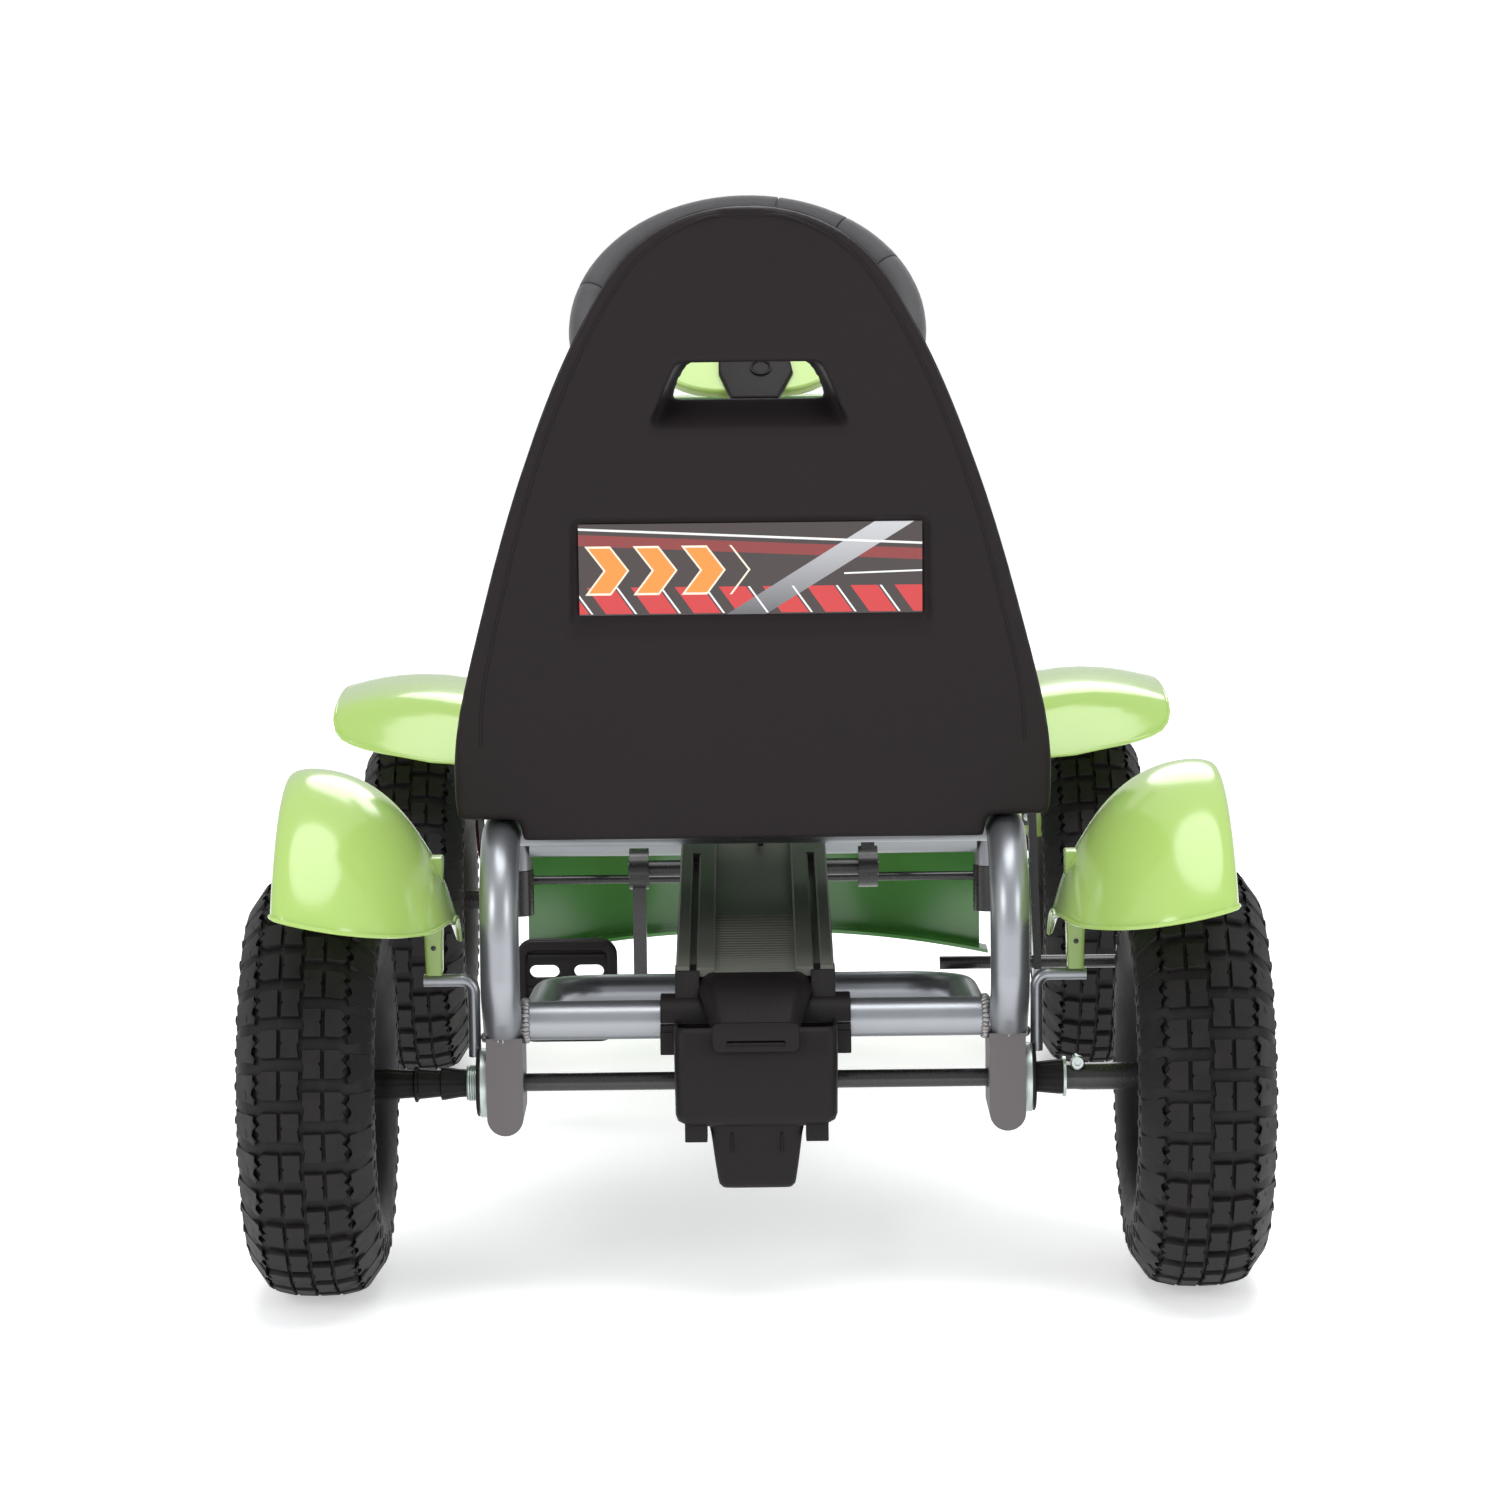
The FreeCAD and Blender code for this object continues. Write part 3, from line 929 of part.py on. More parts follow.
# ---- hand brake on the right --------------------------------------------------------------
shaft = rod("brake_shaft_bar", "x", "rail_x - 40", "brake_y", "brake_z", "brake_radius",
            "rear_track / 2 + 20 - rail_x + 40")
plate_low = "brake_z - 9"
hanger = box("brake_hanger", "rail_x + 16", "brake_y - 9", plate_low, "6", "18",
             "seat_rail_z - brake_z + 9")
hanger_bore = rod("brake_hanger_bore", "x", "rail_x", "brake_y", "brake_z",
                  "brake_radius + running_gap", "40")
rail_way = rod("brake_rail_way", "y", "rail_x", "brake_y - 40", "seat_rail_z", "tube_radius", "80")
keep(cut("brake_bracket", hanger, hanger_bore, rail_way))
lever_angle = 62
lever = Part.makeBox(6, 215, 18, Vector(0, -9, -9))
lever = lever.cut(Part.makeCylinder(size("brake_radius"), 20, Vector(-5, 0, 0), Vector(1, 0, 0)))
lever.rotate(Vector(0, 0, 0), Vector(1, 0, 0), lever_angle)
lever.translate(Vector(size("brake_lever_x"), size("brake_y"), size("brake_z")))
keep(feature("brake_lever", lever))
hold = Part.makeBox(11, 90, 26, Vector(-2.5, 140, -13)).cut(Part.makeBox(6, 70, 18, Vector(0, 140, -9)))
hold.rotate(Vector(0, 0, 0), Vector(1, 0, 0), lever_angle)
hold.translate(Vector(size("brake_lever_x"), size("brake_y"), size("brake_z")))
keep(feature("brake_grip", hold))
pad_y, pad_z = "brake_y - brake_pad_back", "brake_z + brake_pad_up"
keep(ring("brake_pad", "x", "rear_track / 2 - 30", pad_y, pad_z, "brake_pad_radius", "4", "44"))
pad_arm = box("brake_pad_arm", "rear_track / 2 - 36", f"{pad_y} - 5", f"{pad_z} - 5", "6",
              "brake_pad_back + 10", "10")
arm_foot = box("brake_pad_foot", "rear_track / 2 - 36", "brake_y - 5", "brake_z - 5", "6", "10",
               "brake_pad_up + 10")
pad_pin = rod("brake_pad_pin", "x", "rear_track / 2 - 39", pad_y, pad_z, "4", "56")
keep(fuse("brake_shaft", shaft, pad_arm, arm_foot, pad_pin))


# ---- check and write -------------------------------------------------------------------------
def main():
    doc.recompute()
    for obj in doc.Objects:
        if "Invalid" in obj.State or "Error" in obj.State:
            raise RuntimeError(f"{obj.Name} did not build: {obj.State}")
    names = [obj.Label for obj in NODES]
    if len(set(names)) != len(names) or len(names) > 60:
        raise RuntimeError(f"{len(names)} nodes, {len(set(names))} of them with a name of their own")
    for obj in NODES:
        if obj.Shape.isNull() or not obj.Shape.isValid() or not obj.Shape.Solids:
            raise RuntimeError(f"{obj.Label} has no valid solid")
    os.makedirs("parts", exist_ok=True)
    for obj in NODES:
        obj.Shape.exportStep(f"parts/{obj.Label}.step")
    print(len(names), "nodes written")


main()
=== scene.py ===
# %% [markdown]
# Dressing a pedal go kart. The frame of the lesson is the kart's own construction: tubes,
# axles, wheels and linkage come in at their real size and place. What is added here is what
# the eye sees first: block tread, moulded plastic, brushed paint, foam, weld beads. Each
# step says what the real piece is, then builds it in metres around the box of its solid.

# %% Load the frame
import math
import random

import bmesh
import bpy
from mathutils import Matrix, Vector


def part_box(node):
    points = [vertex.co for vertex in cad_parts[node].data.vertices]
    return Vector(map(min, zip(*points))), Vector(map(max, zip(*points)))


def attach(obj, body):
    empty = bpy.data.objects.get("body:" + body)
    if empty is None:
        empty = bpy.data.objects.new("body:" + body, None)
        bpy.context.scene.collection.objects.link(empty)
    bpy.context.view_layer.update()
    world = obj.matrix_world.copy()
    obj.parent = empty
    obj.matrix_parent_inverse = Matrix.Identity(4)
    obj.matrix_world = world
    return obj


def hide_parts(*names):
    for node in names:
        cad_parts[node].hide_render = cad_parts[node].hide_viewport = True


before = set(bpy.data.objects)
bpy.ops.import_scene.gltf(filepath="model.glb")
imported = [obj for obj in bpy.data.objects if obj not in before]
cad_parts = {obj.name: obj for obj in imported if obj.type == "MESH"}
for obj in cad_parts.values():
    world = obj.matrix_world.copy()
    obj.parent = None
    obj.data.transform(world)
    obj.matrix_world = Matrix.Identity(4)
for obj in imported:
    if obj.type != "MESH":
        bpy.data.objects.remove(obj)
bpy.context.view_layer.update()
MM = 0.001
SIDES = (("left", -1), ("right", 1))
UPRIGHT = Matrix.Rotation(math.radians(90), 4, "X")

# %% [markdown]
# Shader maths reads best as plain expressions. This class wraps one output socket, and each
# operator adds a Math node, so wear * 0.5 + 0.1 can be written as it would be on paper.


# %% Shader expressions
class Value:
    def __init__(self, shader, socket):
        self.shader, self.socket = shader, socket

    def maths(self, operation, *others):
        inputs = {n: other for n, other in enumerate((self,) + others)}
        return self.shader.node("ShaderNodeMath", {"operation": operation}, inputs)

    def clamp(self):
        return self.shader.node("ShaderNodeClamp", {}, {"Value": self})


for method, operation in (("__add__", "ADD"), ("__sub__", "SUBTRACT"), ("__mul__", "MULTIPLY"),
                          ("__gt__", "GREATER_THAN"), ("__lt__", "LESS_THAN"),
                          ("fraction", "FRACT"), ("size", "ABSOLUTE")):
    setattr(Value, method, lambda self, *others, kind=operation: self.maths(kind, *others))


class Shader:
    """One material: a principled shader and the expressions that vary it."""

    def __init__(self, name, **constants):
        self.material = bpy.data.materials.new(name)
        self.material.use_nodes = True
        self.tree = self.material.node_tree
        self.surface = self.tree.nodes["Principled BSDF"]
        for key, value in constants.items():
            socket = self.surface.inputs[key.replace("_", " ")]
            socket.default_value = (*value, 1) if isinstance(value, tuple) else value

    def node(self, kind, settings, inputs, output=0):
        made = self.tree.nodes.new(kind)
        for key, value in settings.items():
            setattr(made, key, value)
        for key, value in inputs.items():
            socket = made.inputs[key]
            if isinstance(value, Value):
                self.tree.links.new(value.socket, socket)
            else:
                socket.default_value = (*value, 1) if socket.type == "RGBA" else value
        return Value(self, made.outputs[output])

    def place(self):
        """Where a point of the surface is, in metres, in the kart's own frame."""
        return self.node("ShaderNodeTexCoord", {}, {}, "Object")

    def axes(self):
        split = self.node("ShaderNodeSeparateXYZ", {}, {0: self.place()})
        outputs = split.socket.node.outputs
        return [Value(self, outputs[n]) for n in range(3)]

    def noise(self, scale, detail=3.0, rough=0.5, stretch=None):
        where = self.place()
        if stretch:
            where = self.node("ShaderNodeMapping", {}, {"Vector": where, "Scale": stretch})
        return self.node("ShaderNodeTexNoise", {}, {"Vector": where, "Scale": scale,
                                                    "Detail": detail, "Roughness": rough})

    def cells(self, scale):
        return self.node("ShaderNodeTexVoronoi", {}, {"Vector": self.place(), "Scale": scale})

    def mix(self, factor, first, second):
        return self.node("ShaderNodeMix", {"data_type": "RGBA"}, {0: factor, 6: first, 7: second}, 2)

    def feed(self, name, value):
        self.tree.links.new(value.socket, self.surface.inputs[name])

    def bump(self, height, distance, strength):
        inputs = {"Height": height, "Distance": distance, "Strength": strength}
        self.feed("Normal", self.node("ShaderNodeBump", {}, inputs))

    def coat(self, colour, roughness, height, distance, strength):
        """Colour, roughness and relief together: how each material of the kart ends."""
        self.feed("Base Color", colour)
        self.feed("Roughness", roughness)
        self.bump(height, distance, strength)
        return self.material


print("shader helpers ready")

# %% [markdown]
# Moulded plastic is never one flat black. The tool leaves a fine spark-eroded grain, and
# handling rubs it smoother in patches. The grain is a small cell pattern as bump; slow noise
# varies the colour and the roughness by a little.


# %% Moulded plastics
GRAIN = 1400


def grained_plastic(name, dark, pale, roughness):
    shader = Shader(name, Roughness=roughness, Specular_IOR_Level=0.22)
    cloud = shader.noise(9, 4)
    relief = shader.noise(GRAIN, 2) + shader.cells(GRAIN * 0.7) * 0.6
    return shader.coat(shader.mix(cloud, dark, pale), cloud * 0.16 + (roughness - 0.08),
                       relief, 0.00025, 0.55)


seat_black = grained_plastic("seat_plastic", (0.0085, 0.0055, 0.0062), (0.014, 0.0095, 0.0105), 0.6)
guard_black = grained_plastic("guard_plastic", (0.0055, 0.004, 0.0045), (0.01, 0.0075, 0.0082), 0.5)
# The chain guard is black plastic; this lighter grey copy on its top, rails and ribs is a painted sheen
# standing in for reflected light.
guard_painted_sheen = grained_plastic("guard_top_painted_sheen", (0.105, 0.108, 0.091), (0.14, 0.144, 0.122), 0.42)


LIME = ((0.34, 0.52, 0.12), (0.4, 0.57, 0.155))
# The second pair of greens is painted shade: a darker green for the nose's inner face, where shade falls.
PAINTED_SHADE_GREEN = ((0.055, 0.2, 0.04), (0.075, 0.25, 0.055))


def gloss_green():
    shader = Shader("green_plastic", Roughness=0.2, Coat_Weight=0.35, Coat_Roughness=0.12)
    cloud = shader.noise(6, 3)
    scuff = (shader.noise(60, 6, 0.7, (1, 9, 1)) - 0.62).clamp()
    return shader.coat(shader.mix(cloud, *LIME), scuff * 1.3 + cloud * 0.06 + 0.15,
                       shader.noise(38, 2), 0.0006, 0.25)


def nose_with_painted_shade():
    """The same green, glossy on the outer face; on the inner face of the sheet a darker green is painted
    shade.
    """
    shader = Shader("nose_painted_shade_plastic", Roughness=0.22, Coat_Weight=0.3, Coat_Roughness=0.15)
    behind_nose = (0, 0.15, 0.12)
    away = shader.node("ShaderNodeVectorMath", {"operation": "SUBTRACT"},
                       {0: shader.place(), 1: behind_nose})
    normal = shader.node("ShaderNodeTexCoord", {}, {}, "Normal")
    facing = shader.node("ShaderNodeVectorMath", {"operation": "DOT_PRODUCT"},
                         {0: away, 1: normal}, "Value")
    # Faces turned toward the middle of the nose get the darker green, which is painted shade.
    face_without_painted_shade, cloud = (facing * 40 + 0.5).clamp(), shader.noise(6, 3)
    both = shader.mix(face_without_painted_shade, shader.mix(cloud, *PAINTED_SHADE_GREEN), shader.mix(cloud, *LIME))
    return shader.coat(both, cloud * 0.08 + 0.18, shader.noise(38, 2), 0.0006, 0.25)


green, lime_and_painted_shade = gloss_green(), nose_with_painted_shade()
print("plastics:", seat_black.name, guard_black.name, green.name, lime_and_painted_shade.name)

# %% [markdown]
# The tubes wear a silver paint with metal flake. Paint over a drawn tube keeps faint marks
# along its length, so the roughness noise is stretched, and a very fine cell pattern breaks
# up the highlight as flake does.


# %% Metals and paints
def dimmed(shade, by):
    return tuple(channel * by for channel in shade)


def silver_paint(name, shade, roughness=0.33):
    shader = Shader(name, Metallic=0.85, Roughness=roughness, Specular_IOR_Level=0.5)
    streak = shader.noise(26, 5, 0.6, (1, 0.25, 0.25))
    flake = shader.noise(2600, 1)
    return shader.coat(shader.mix(streak, dimmed(shade, 0.86), shade),
                       streak * 0.18 + flake * 0.08 + (roughness - 0.12), flake, 0.00006, 0.5)


silver = silver_paint("silver_paint", (0.37, 0.385, 0.41))
sheet_silver = silver_paint("sheet_silver", (0.165, 0.152, 0.156), 0.5)


def plated(name, shade, roughness, tint):
    shader = Shader(name, Metallic=1.0, Roughness=roughness)
    stain = shader.noise(90, 5, 0.65)
    return shader.coat(shader.mix(stain, shade, tint), stain * 0.25 + (roughness - 0.1),
                       shader.noise(900, 3), 0.00008, 0.4)


zinc = plated("zinc_plate", (0.62, 0.66, 0.64), 0.34, (0.5, 0.58, 0.56))
weld_metal = plated("weld_metal", (0.42, 0.42, 0.43), 0.42, (0.26, 0.24, 0.23))
chain_steel = plated("oiled_steel", (0.16, 0.15, 0.14), 0.36, (0.07, 0.065, 0.06))


def gloss_paint(name, shade, roughness=0.34):
    shader = Shader(name, Roughness=roughness, Coat_Weight=0.3, Coat_Roughness=0.2)
    cloud = shader.noise(30, 4)
    dust = (shader.noise(160, 5, 0.7) - 0.55).clamp()
    return shader.coat(shader.mix(cloud, dimmed(shade, 0.8), shade), dust * 0.8 + (roughness - 0.05),
                       shader.noise(420, 2), 0.00012, 0.4)


black_paint = gloss_paint("black_paint", (0.022, 0.021, 0.022), 0.3)
red_paint = gloss_paint("red_paint", (0.5, 0.022, 0.018))
grey_paint = gloss_paint("grey_rim_paint", (0.05, 0.05, 0.055))
amber = gloss_paint("amber_reflector", (0.62, 0.1, 0.015), 0.2)
print("metals and paints ready")

# %% [markdown]
# Tyre rubber is a warm black that dries grey on the faces that touch the ground, and foam
# grips have small open cells. Both are rough, with almost no highlight.


# %% Rubber and foam
def rubber(name, shade, dusty, scale, roughness=0.72):
    shader = Shader(name, Roughness=roughness, Specular_IOR_Level=0.24)
    dust = (shader.noise(scale, 6, 0.7) - 0.42).clamp()
    return shader.coat(shader.mix(dust * 1.8, shade, dusty), dust * 0.5 + (roughness - 0.1),
                       shader.noise(700, 4), 0.0002, 0.5)


tyre_rubber = rubber("tyre_rubber", (0.0085, 0.007, 0.0075), (0.02, 0.0175, 0.018), 45, 0.62)
pad_rubber = rubber("pad_rubber", (0.016, 0.015, 0.015), (0.03, 0.03, 0.03), 120)


def foam():
    shader = Shader("grip_foam", Roughness=0.62, Specular_IOR_Level=0.45, Sheen_Weight=0.25)
    cloud = shader.noise(50, 3)
    return shader.coat(shader.mix(cloud, (0.022, 0.021, 0.023), (0.045, 0.044, 0.048)),
                       cloud * 0.2 + 0.46, shader.cells(1500), 0.0003, 0.8)


grip_foam = foam()
print("rubbers ready")

# %% [markdown]
# The label in the recess is plain printed film. Its design is this lesson's own: red bars
# that lean one way, a silver flash across them, and a row of orange arrows with pale edges.
# It is all worked out from the place on the label, so there is no picture to load.

# %% Label print
LABEL_HEIGHT = 0.525


def label_print():
    shader = Shader("label_film", Roughness=0.3, Coat_Weight=0.5, Coat_Roughness=0.1)
    x, _, z = shader.axes()
    across, up = x * 1000, (z - LABEL_HEIGHT) * 1000

    def between(value, low, high):
        return (value > low) * (value < high)

    def every(value, pitch):
        return (value * (1 / pitch)).fraction()

    def arrows(grow, share):
        tips = between(arrow, -102 - grow, 0) * (up.size() < 16 + grow)
        return (every(arrow + grow, 34) < share) * tips

    lean, slope, foot = across + up * 0.7, up + across * 0.05, between(up, -31, -12)
    bars = (every(lean, 31) < 0.62) * foot
    thin = (every(lean, 31) > 0.66) * (every(lean, 31) < 0.71) * foot
    flash = between(across - up * 1.6, 34, 62)
    arrow = across + up.size() * 0.75
    line = between(slope, 23, 24.6) + between(up - across * 0.03, -6, -4.8) * (across > 66)
    glow = shader.noise(60, 3)
    silver_tone = shader.mix((up * 0.016 + 0.5).clamp(), (0.1, 0.1, 0.11), (0.52, 0.52, 0.54))
    shade = shader.mix(glow, (0.012, 0.008, 0.008), (0.035, 0.012, 0.01))
    for where, ink in ((between(slope, 12, 20), (0.22, 0.012, 0.01)),
                       (bars, (0.55, 0.016, 0.018)),
                       (flash, silver_tone),
                       ((line + thin).clamp(), (0.8, 0.8, 0.8)),
                       (arrows(1.6, 0.534), (0.85, 0.72, 0.58)),
                       (arrows(0, 0.44), (0.78, 0.25, 0.02))):
        shade = shader.mix(where, shade, ink)
    return shader.coat(shade, glow * 0.12 + 0.24, shader.noise(500, 2), 0.00004, 0.3)


label = label_print()
print("label film ready")

# %% [markdown]
# Every added piece goes through the same few steps: a bmesh becomes a mesh, edges sharper
# than a limit stay crisp, and the piece is tied to its body. Turned shapes and rounded
# blocks come up so often that they get helpers.


# %% Mesh helpers
def mesh_object(name, bm, material, closed=True):
    """Makes an object of a drawn shape, with one material; a closed one faces outward."""
    if closed:
        bmesh.ops.recalc_face_normals(bm, faces=bm.faces)
    mesh = bpy.data.meshes.new(name)
    bm.to_mesh(mesh)
    bm.free()
    mesh.materials.append(material)
    made = bpy.data.objects.new(name, mesh)
    bpy.context.collection.objects.link(made)
    return made


def declare(made, body, replaces=(), crease=None):
    """Smooth faces, crisp edges above the crease angle, and what the piece belongs to."""
    made.data.shade_smooth()
    if crease:
        made.data.set_sharp_from_angle(angle=math.radians(crease))
    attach(made, body)
    if replaces:
        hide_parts(*([replaces] if isinstance(replaces, str) else replaces))
    return made


def round_edges(made, width, segments, limit):
    edge = made.modifiers.new("rounded edges", "BEVEL")
    edge.width, edge.segments = width, segments
    edge.limit_method, edge.angle_limit = "ANGLE", limit
    bake(made)


def finish_piece(name, bm, material, body, slot, replaces=(), crease=35, bevel=None):
    """The bevel is its width and its number of segments."""
    made = mesh_object(name, bm, material)
    if bevel:
        round_edges(made, *bevel, math.radians(30))
    return declare(made, body, replaces, crease)


def bake(made):
    """Turns a piece's modifiers into mesh, so that nothing is left to be worked out."""
    view = bpy.context.evaluated_depsgraph_get()
    finished = bpy.data.meshes.new_from_object(made.evaluated_get(view))
    old, name = made.data, made.data.name
    made.modifiers.clear()
    made.data = finished
    bpy.data.meshes.remove(old)
    finished.name = name


def axis_frame(axis, centre):
    """Turns a shape drawn around X to lie around another direction, at a place."""
    lean = Vector((1, 0, 0)).rotation_difference(Vector(axis))
    return Matrix.Translation(centre) @ lean.to_matrix().to_4x4()


def polar(along, radius, angle):
    """A point at a radius and an angle round the X axis."""
    return Vector((along, radius * math.cos(angle), radius * math.sin(angle)))


def loft(bm, rows, capped=True, loop=False, around=True):
    """Faces between rows of points. Loop joins the last row to the first; around closes each."""
    rings = [[bm.verts.new(point) for point in row] for row in rows]
    for ring, following in zip(rings, rings[1:] + rings[:1] * loop):
        for n in range(len(ring) if around else len(ring) - 1):
            after = (n + 1) % len(ring)
            bm.faces.new((ring[n], ring[after], following[after], following[n]))
    if capped:
        bm.faces.new(rings[0][::-1])
        bm.faces.new(rings[-1])
    return rings


def turn(bm, profile, centre, axis=(1, 0, 0), segments=48, closed=True, wobble=None):
    """Spins a profile of (along the axis, radius) points. A closed profile is a ring."""
    where = axis_frame(axis, centre)
    rows = []
    for step in range(segments):
        angle = 2 * math.pi * step / segments
        grow = wobble(angle) if wobble else 1.0
        rows.append([where @ polar(along, radius * grow, angle) for along, radius in profile])
    rings = loft(bm, rows, capped=False, loop=True, around=closed)
    if not closed:
        for end in (0, -1):
            bm.faces.new([ring[end] for ring in rings])


def stud(name, profile, centre, axis, segments, material, body, slot):
    """A solid turned piece, such as a rivet or the head of a bolt."""
    bm = bmesh.new()
    turn(bm, profile, centre, axis, segments, closed=False)
    return finish_piece(name, bm, material, body, slot)


def round_section(radius, count=8):
    corners = [2 * math.pi * n / count for n in range(count)]
    return [(radius * math.cos(angle), radius * math.sin(angle)) for angle in corners]


def arc(x, y, radius, start, steps):
    """A quarter circle of points round a middle, from a start angle in degrees."""
    angles = [math.radians(start + 90 * step / steps) for step in range(steps + 1)]
    return [(x + radius * math.cos(angle), y + radius * math.sin(angle)) for angle in angles]


def rounded_rectangle(width, height, radius, steps=5, centre=(0, 0)):
    points = []
    for cx, cy, start in ((1, 1, 0), (-1, 1, 90), (-1, -1, 180), (1, -1, 270)):
        points += arc(centre[0] + cx * (width / 2 - radius), centre[1] + cy * (height / 2 - radius),
                      radius, start, steps)
    return points


def read_off(line, x):
    """The height of a broken line at x, and the last height past its end."""
    for (x0, y0), (x1, y1) in zip(line, line[1:]):
        if x0 <= x <= x1:
            return y0 + (y1 - y0) * (x - x0) / (x1 - x0)
    return line[-1][1]


def block(bm, centre, size):
    """A box given by its middle and its size; its edges are rounded by the caller's bevel."""
    made = bmesh.ops.create_cube(bm, size=1)["verts"]
    bmesh.ops.scale(bm, vec=Vector(size), verts=made)
    bmesh.ops.translate(bm, vec=Vector(centre), verts=made)


def middle_of(node):
    low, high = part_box(node)
    return (Vector(low) + Vector(high)) / 2, Vector(high) - Vector(low)


def plate(name, outlines, thickness, round_edge, where, material, body, slot, replaces=()):
    """A flat piece with windows: drawn as a curve, thickened with rounded edges, made mesh."""
    curve = bpy.data.curves.new(name, "CURVE")
    curve.dimensions, curve.fill_mode = "2D", "BOTH"
    curve.extrude, curve.bevel_depth = thickness / 2 - round_edge, round_edge
    curve.bevel_resolution = 2
    for outline in outlines:
        line = curve.splines.new("POLY")
        line.points.add(len(outline) - 1)
        for point, (x, y) in zip(line.points, outline):
            point.co = (x, y, 0, 1)
        line.use_cyclic_u = True
    drawn = bpy.data.objects.new(name, curve)
    bpy.context.collection.objects.link(drawn)
    view = bpy.context.evaluated_depsgraph_get()
    mesh = bpy.data.meshes.new_from_object(drawn.evaluated_get(view))
    bpy.data.objects.remove(drawn)
    bm = bmesh.new()
    bm.from_mesh(mesh)
    bmesh.ops.remove_doubles(bm, verts=bm.verts, dist=0.00001)
    bmesh.ops.transform(bm, matrix=where, verts=bm.verts)
    bpy.data.meshes.remove(mesh)
    return finish_piece(name, bm, material, body, slot, replaces, crease=40)


print("mesh helpers ready")

# %% [markdown]
# First the plain job: each carried-over solid gets the finish of its real counterpart. The
# nodes are grouped by finish, not by body, because one can of paint did the whole frame.

# %% Finishes of the frame's own solids
BLACK_ON_FRAME = (guard_black, "frame", "black_plastic")


def both(*names):
    return [name + side for name in names for side in ("_left", "_right")]


FINISH = {
    silver: both("seat_rail") + ["seat_cross_tube", "rear_crossbar", "hoop_tube", "front_beam",
                                 "steering_stand", "nose_bars", "fender_stays"],
    sheet_silver: both("bearing_bracket"),
    zinc: both("hub_front") + ["rear_bearings", "crank_bearings", "axle_nuts", "seat_bolts", "brake_bracket"],
    black_paint: both("spine_rail", "knuckle", "crank_arm") + ["rear_axle", "tie_rod", "steering_column",
                                                               "brake_shaft", "brake_lever", "crank_axle"],
    chain_steel: ["drive_chain", "front_sprocket", "rear_sprocket"],
    green: both("rear_fender", "front_fender"),
    lime_and_painted_shade: ["nose_panel", "nose_shield"],
    # the guard's black plastic, made lighter grey as a painted sheen
    guard_painted_sheen: ["chain_guard"],
    guard_black: both("pedal") + ["rear_chain_box", "guard_latch", "axle_sleeves", "steering_spokes",
                                  "steering_cap"],
    seat_black: ["seat_shell"],
    label: ["seat_badge"],
    red_paint: both("rim_front"),
    grey_paint: both("rim_rear"),
    tyre_rubber: both("tyre_front", "tyre_rear"),
    pad_rubber: ["brake_pad"],
    grip_foam: ["steering_grip_ring", "brake_grip"],
}
for finish, names in FINISH.items():
    for name in names:
        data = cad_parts[name].data
        data.materials.clear()
        data.materials.append(finish)
unfinished = set(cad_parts) - {name for names in FINISH.values() for name in names}
print("finishes set; nodes without one:", sorted(unfinished) or "none")

# %% [markdown]
# A kart tyre is a moulded rubber ring: round sidewalls, a flattish crown and large blocks of
# tread parted by narrow grooves. The carcass is one spun profile. The blocks are lofted on
# the curve of the tyre, not cut into it, because the grooves then come out clean and deep.
# The outer edge of the second row and the inner edge of the shoulder row zigzag together.
# The rear tyres carry the driver, so they bulge a little wider than the front ones.

# %% Tyres
CROWN = ((0.0, 147.0), (16.0, 146.4), (28.0, 143.4), (36.0, 138.6), (41.0, 131.0), (44.0, 122.0),
         (45.0, 112.0), (43.8, 101.0), (40.0, 90.0), (35.0, 82.5), (31.5, 79.5), (30.0, 77.0))
TREAD, TREAD_LIMIT = 4.6, 152.0
ROLLING_RADIUS = 148.0
PITCHES = 32
CENTRE_BLOCK = ((0.9, -10.4), (13.2, -10.4), (13.2, -1.8), (11.9, 0.0), (13.2, 1.8), (13.2, 10.4),
                (0.9, 10.4), (2.2, 1.6), (0.9, -1.0))
SECOND_BLOCK = ((15.0, -10.4), (25.6, -10.4), (29.0, -6.6), (26.4, -2.6), (30.4, 1.2), (27.2, 4.8),
                (28.6, 8.0), (25.8, 10.4), (15.0, 10.4))
SHOULDER_BLOCK = ((31.0, -9.6), (44.2, -11.6), (44.5, 8.4), (30.4, 12.4), (29.6, 8.6), (32.4, 5.0),
                  (31.8, 1.2), (29.0, -2.4), (31.4, -6.2))


def lug(bm, centre, corners, turn_by):
    """One block of the tread: corners are (across, along), in millimetres."""
    mid_x, mid_s = (sum(values) / len(corners) for values in zip(*corners))
    rows = []
    for lift, pull in ((-1.5, 1.0), (TREAD - 0.7, 0.985), (TREAD, 0.93)):
        pulled = [(mid_x + (x - mid_x) * pull, mid_s + (s - mid_s) * pull) for x, s in corners]
        rows.append([centre + polar(x, min(read_off(CROWN, abs(x)) + lift, TREAD_LIMIT),
                                    turn_by + s / ROLLING_RADIUS) * MM for x, s in pulled])
    loft(bm, rows)


def side_nub(bm, centre, side, angle, radius):
    """A small oval pad on the sidewall, one under each shoulder lug."""
    loft(bm, [[centre + polar(side * (44.6 + lift), radius + 5.2 * up, angle + 3.4 * along / radius) * MM
               for along, up in round_section(grow)]
              for lift, grow in ((-0.6, 1.0), (0.5, 0.9), (0.9, 0.5))])


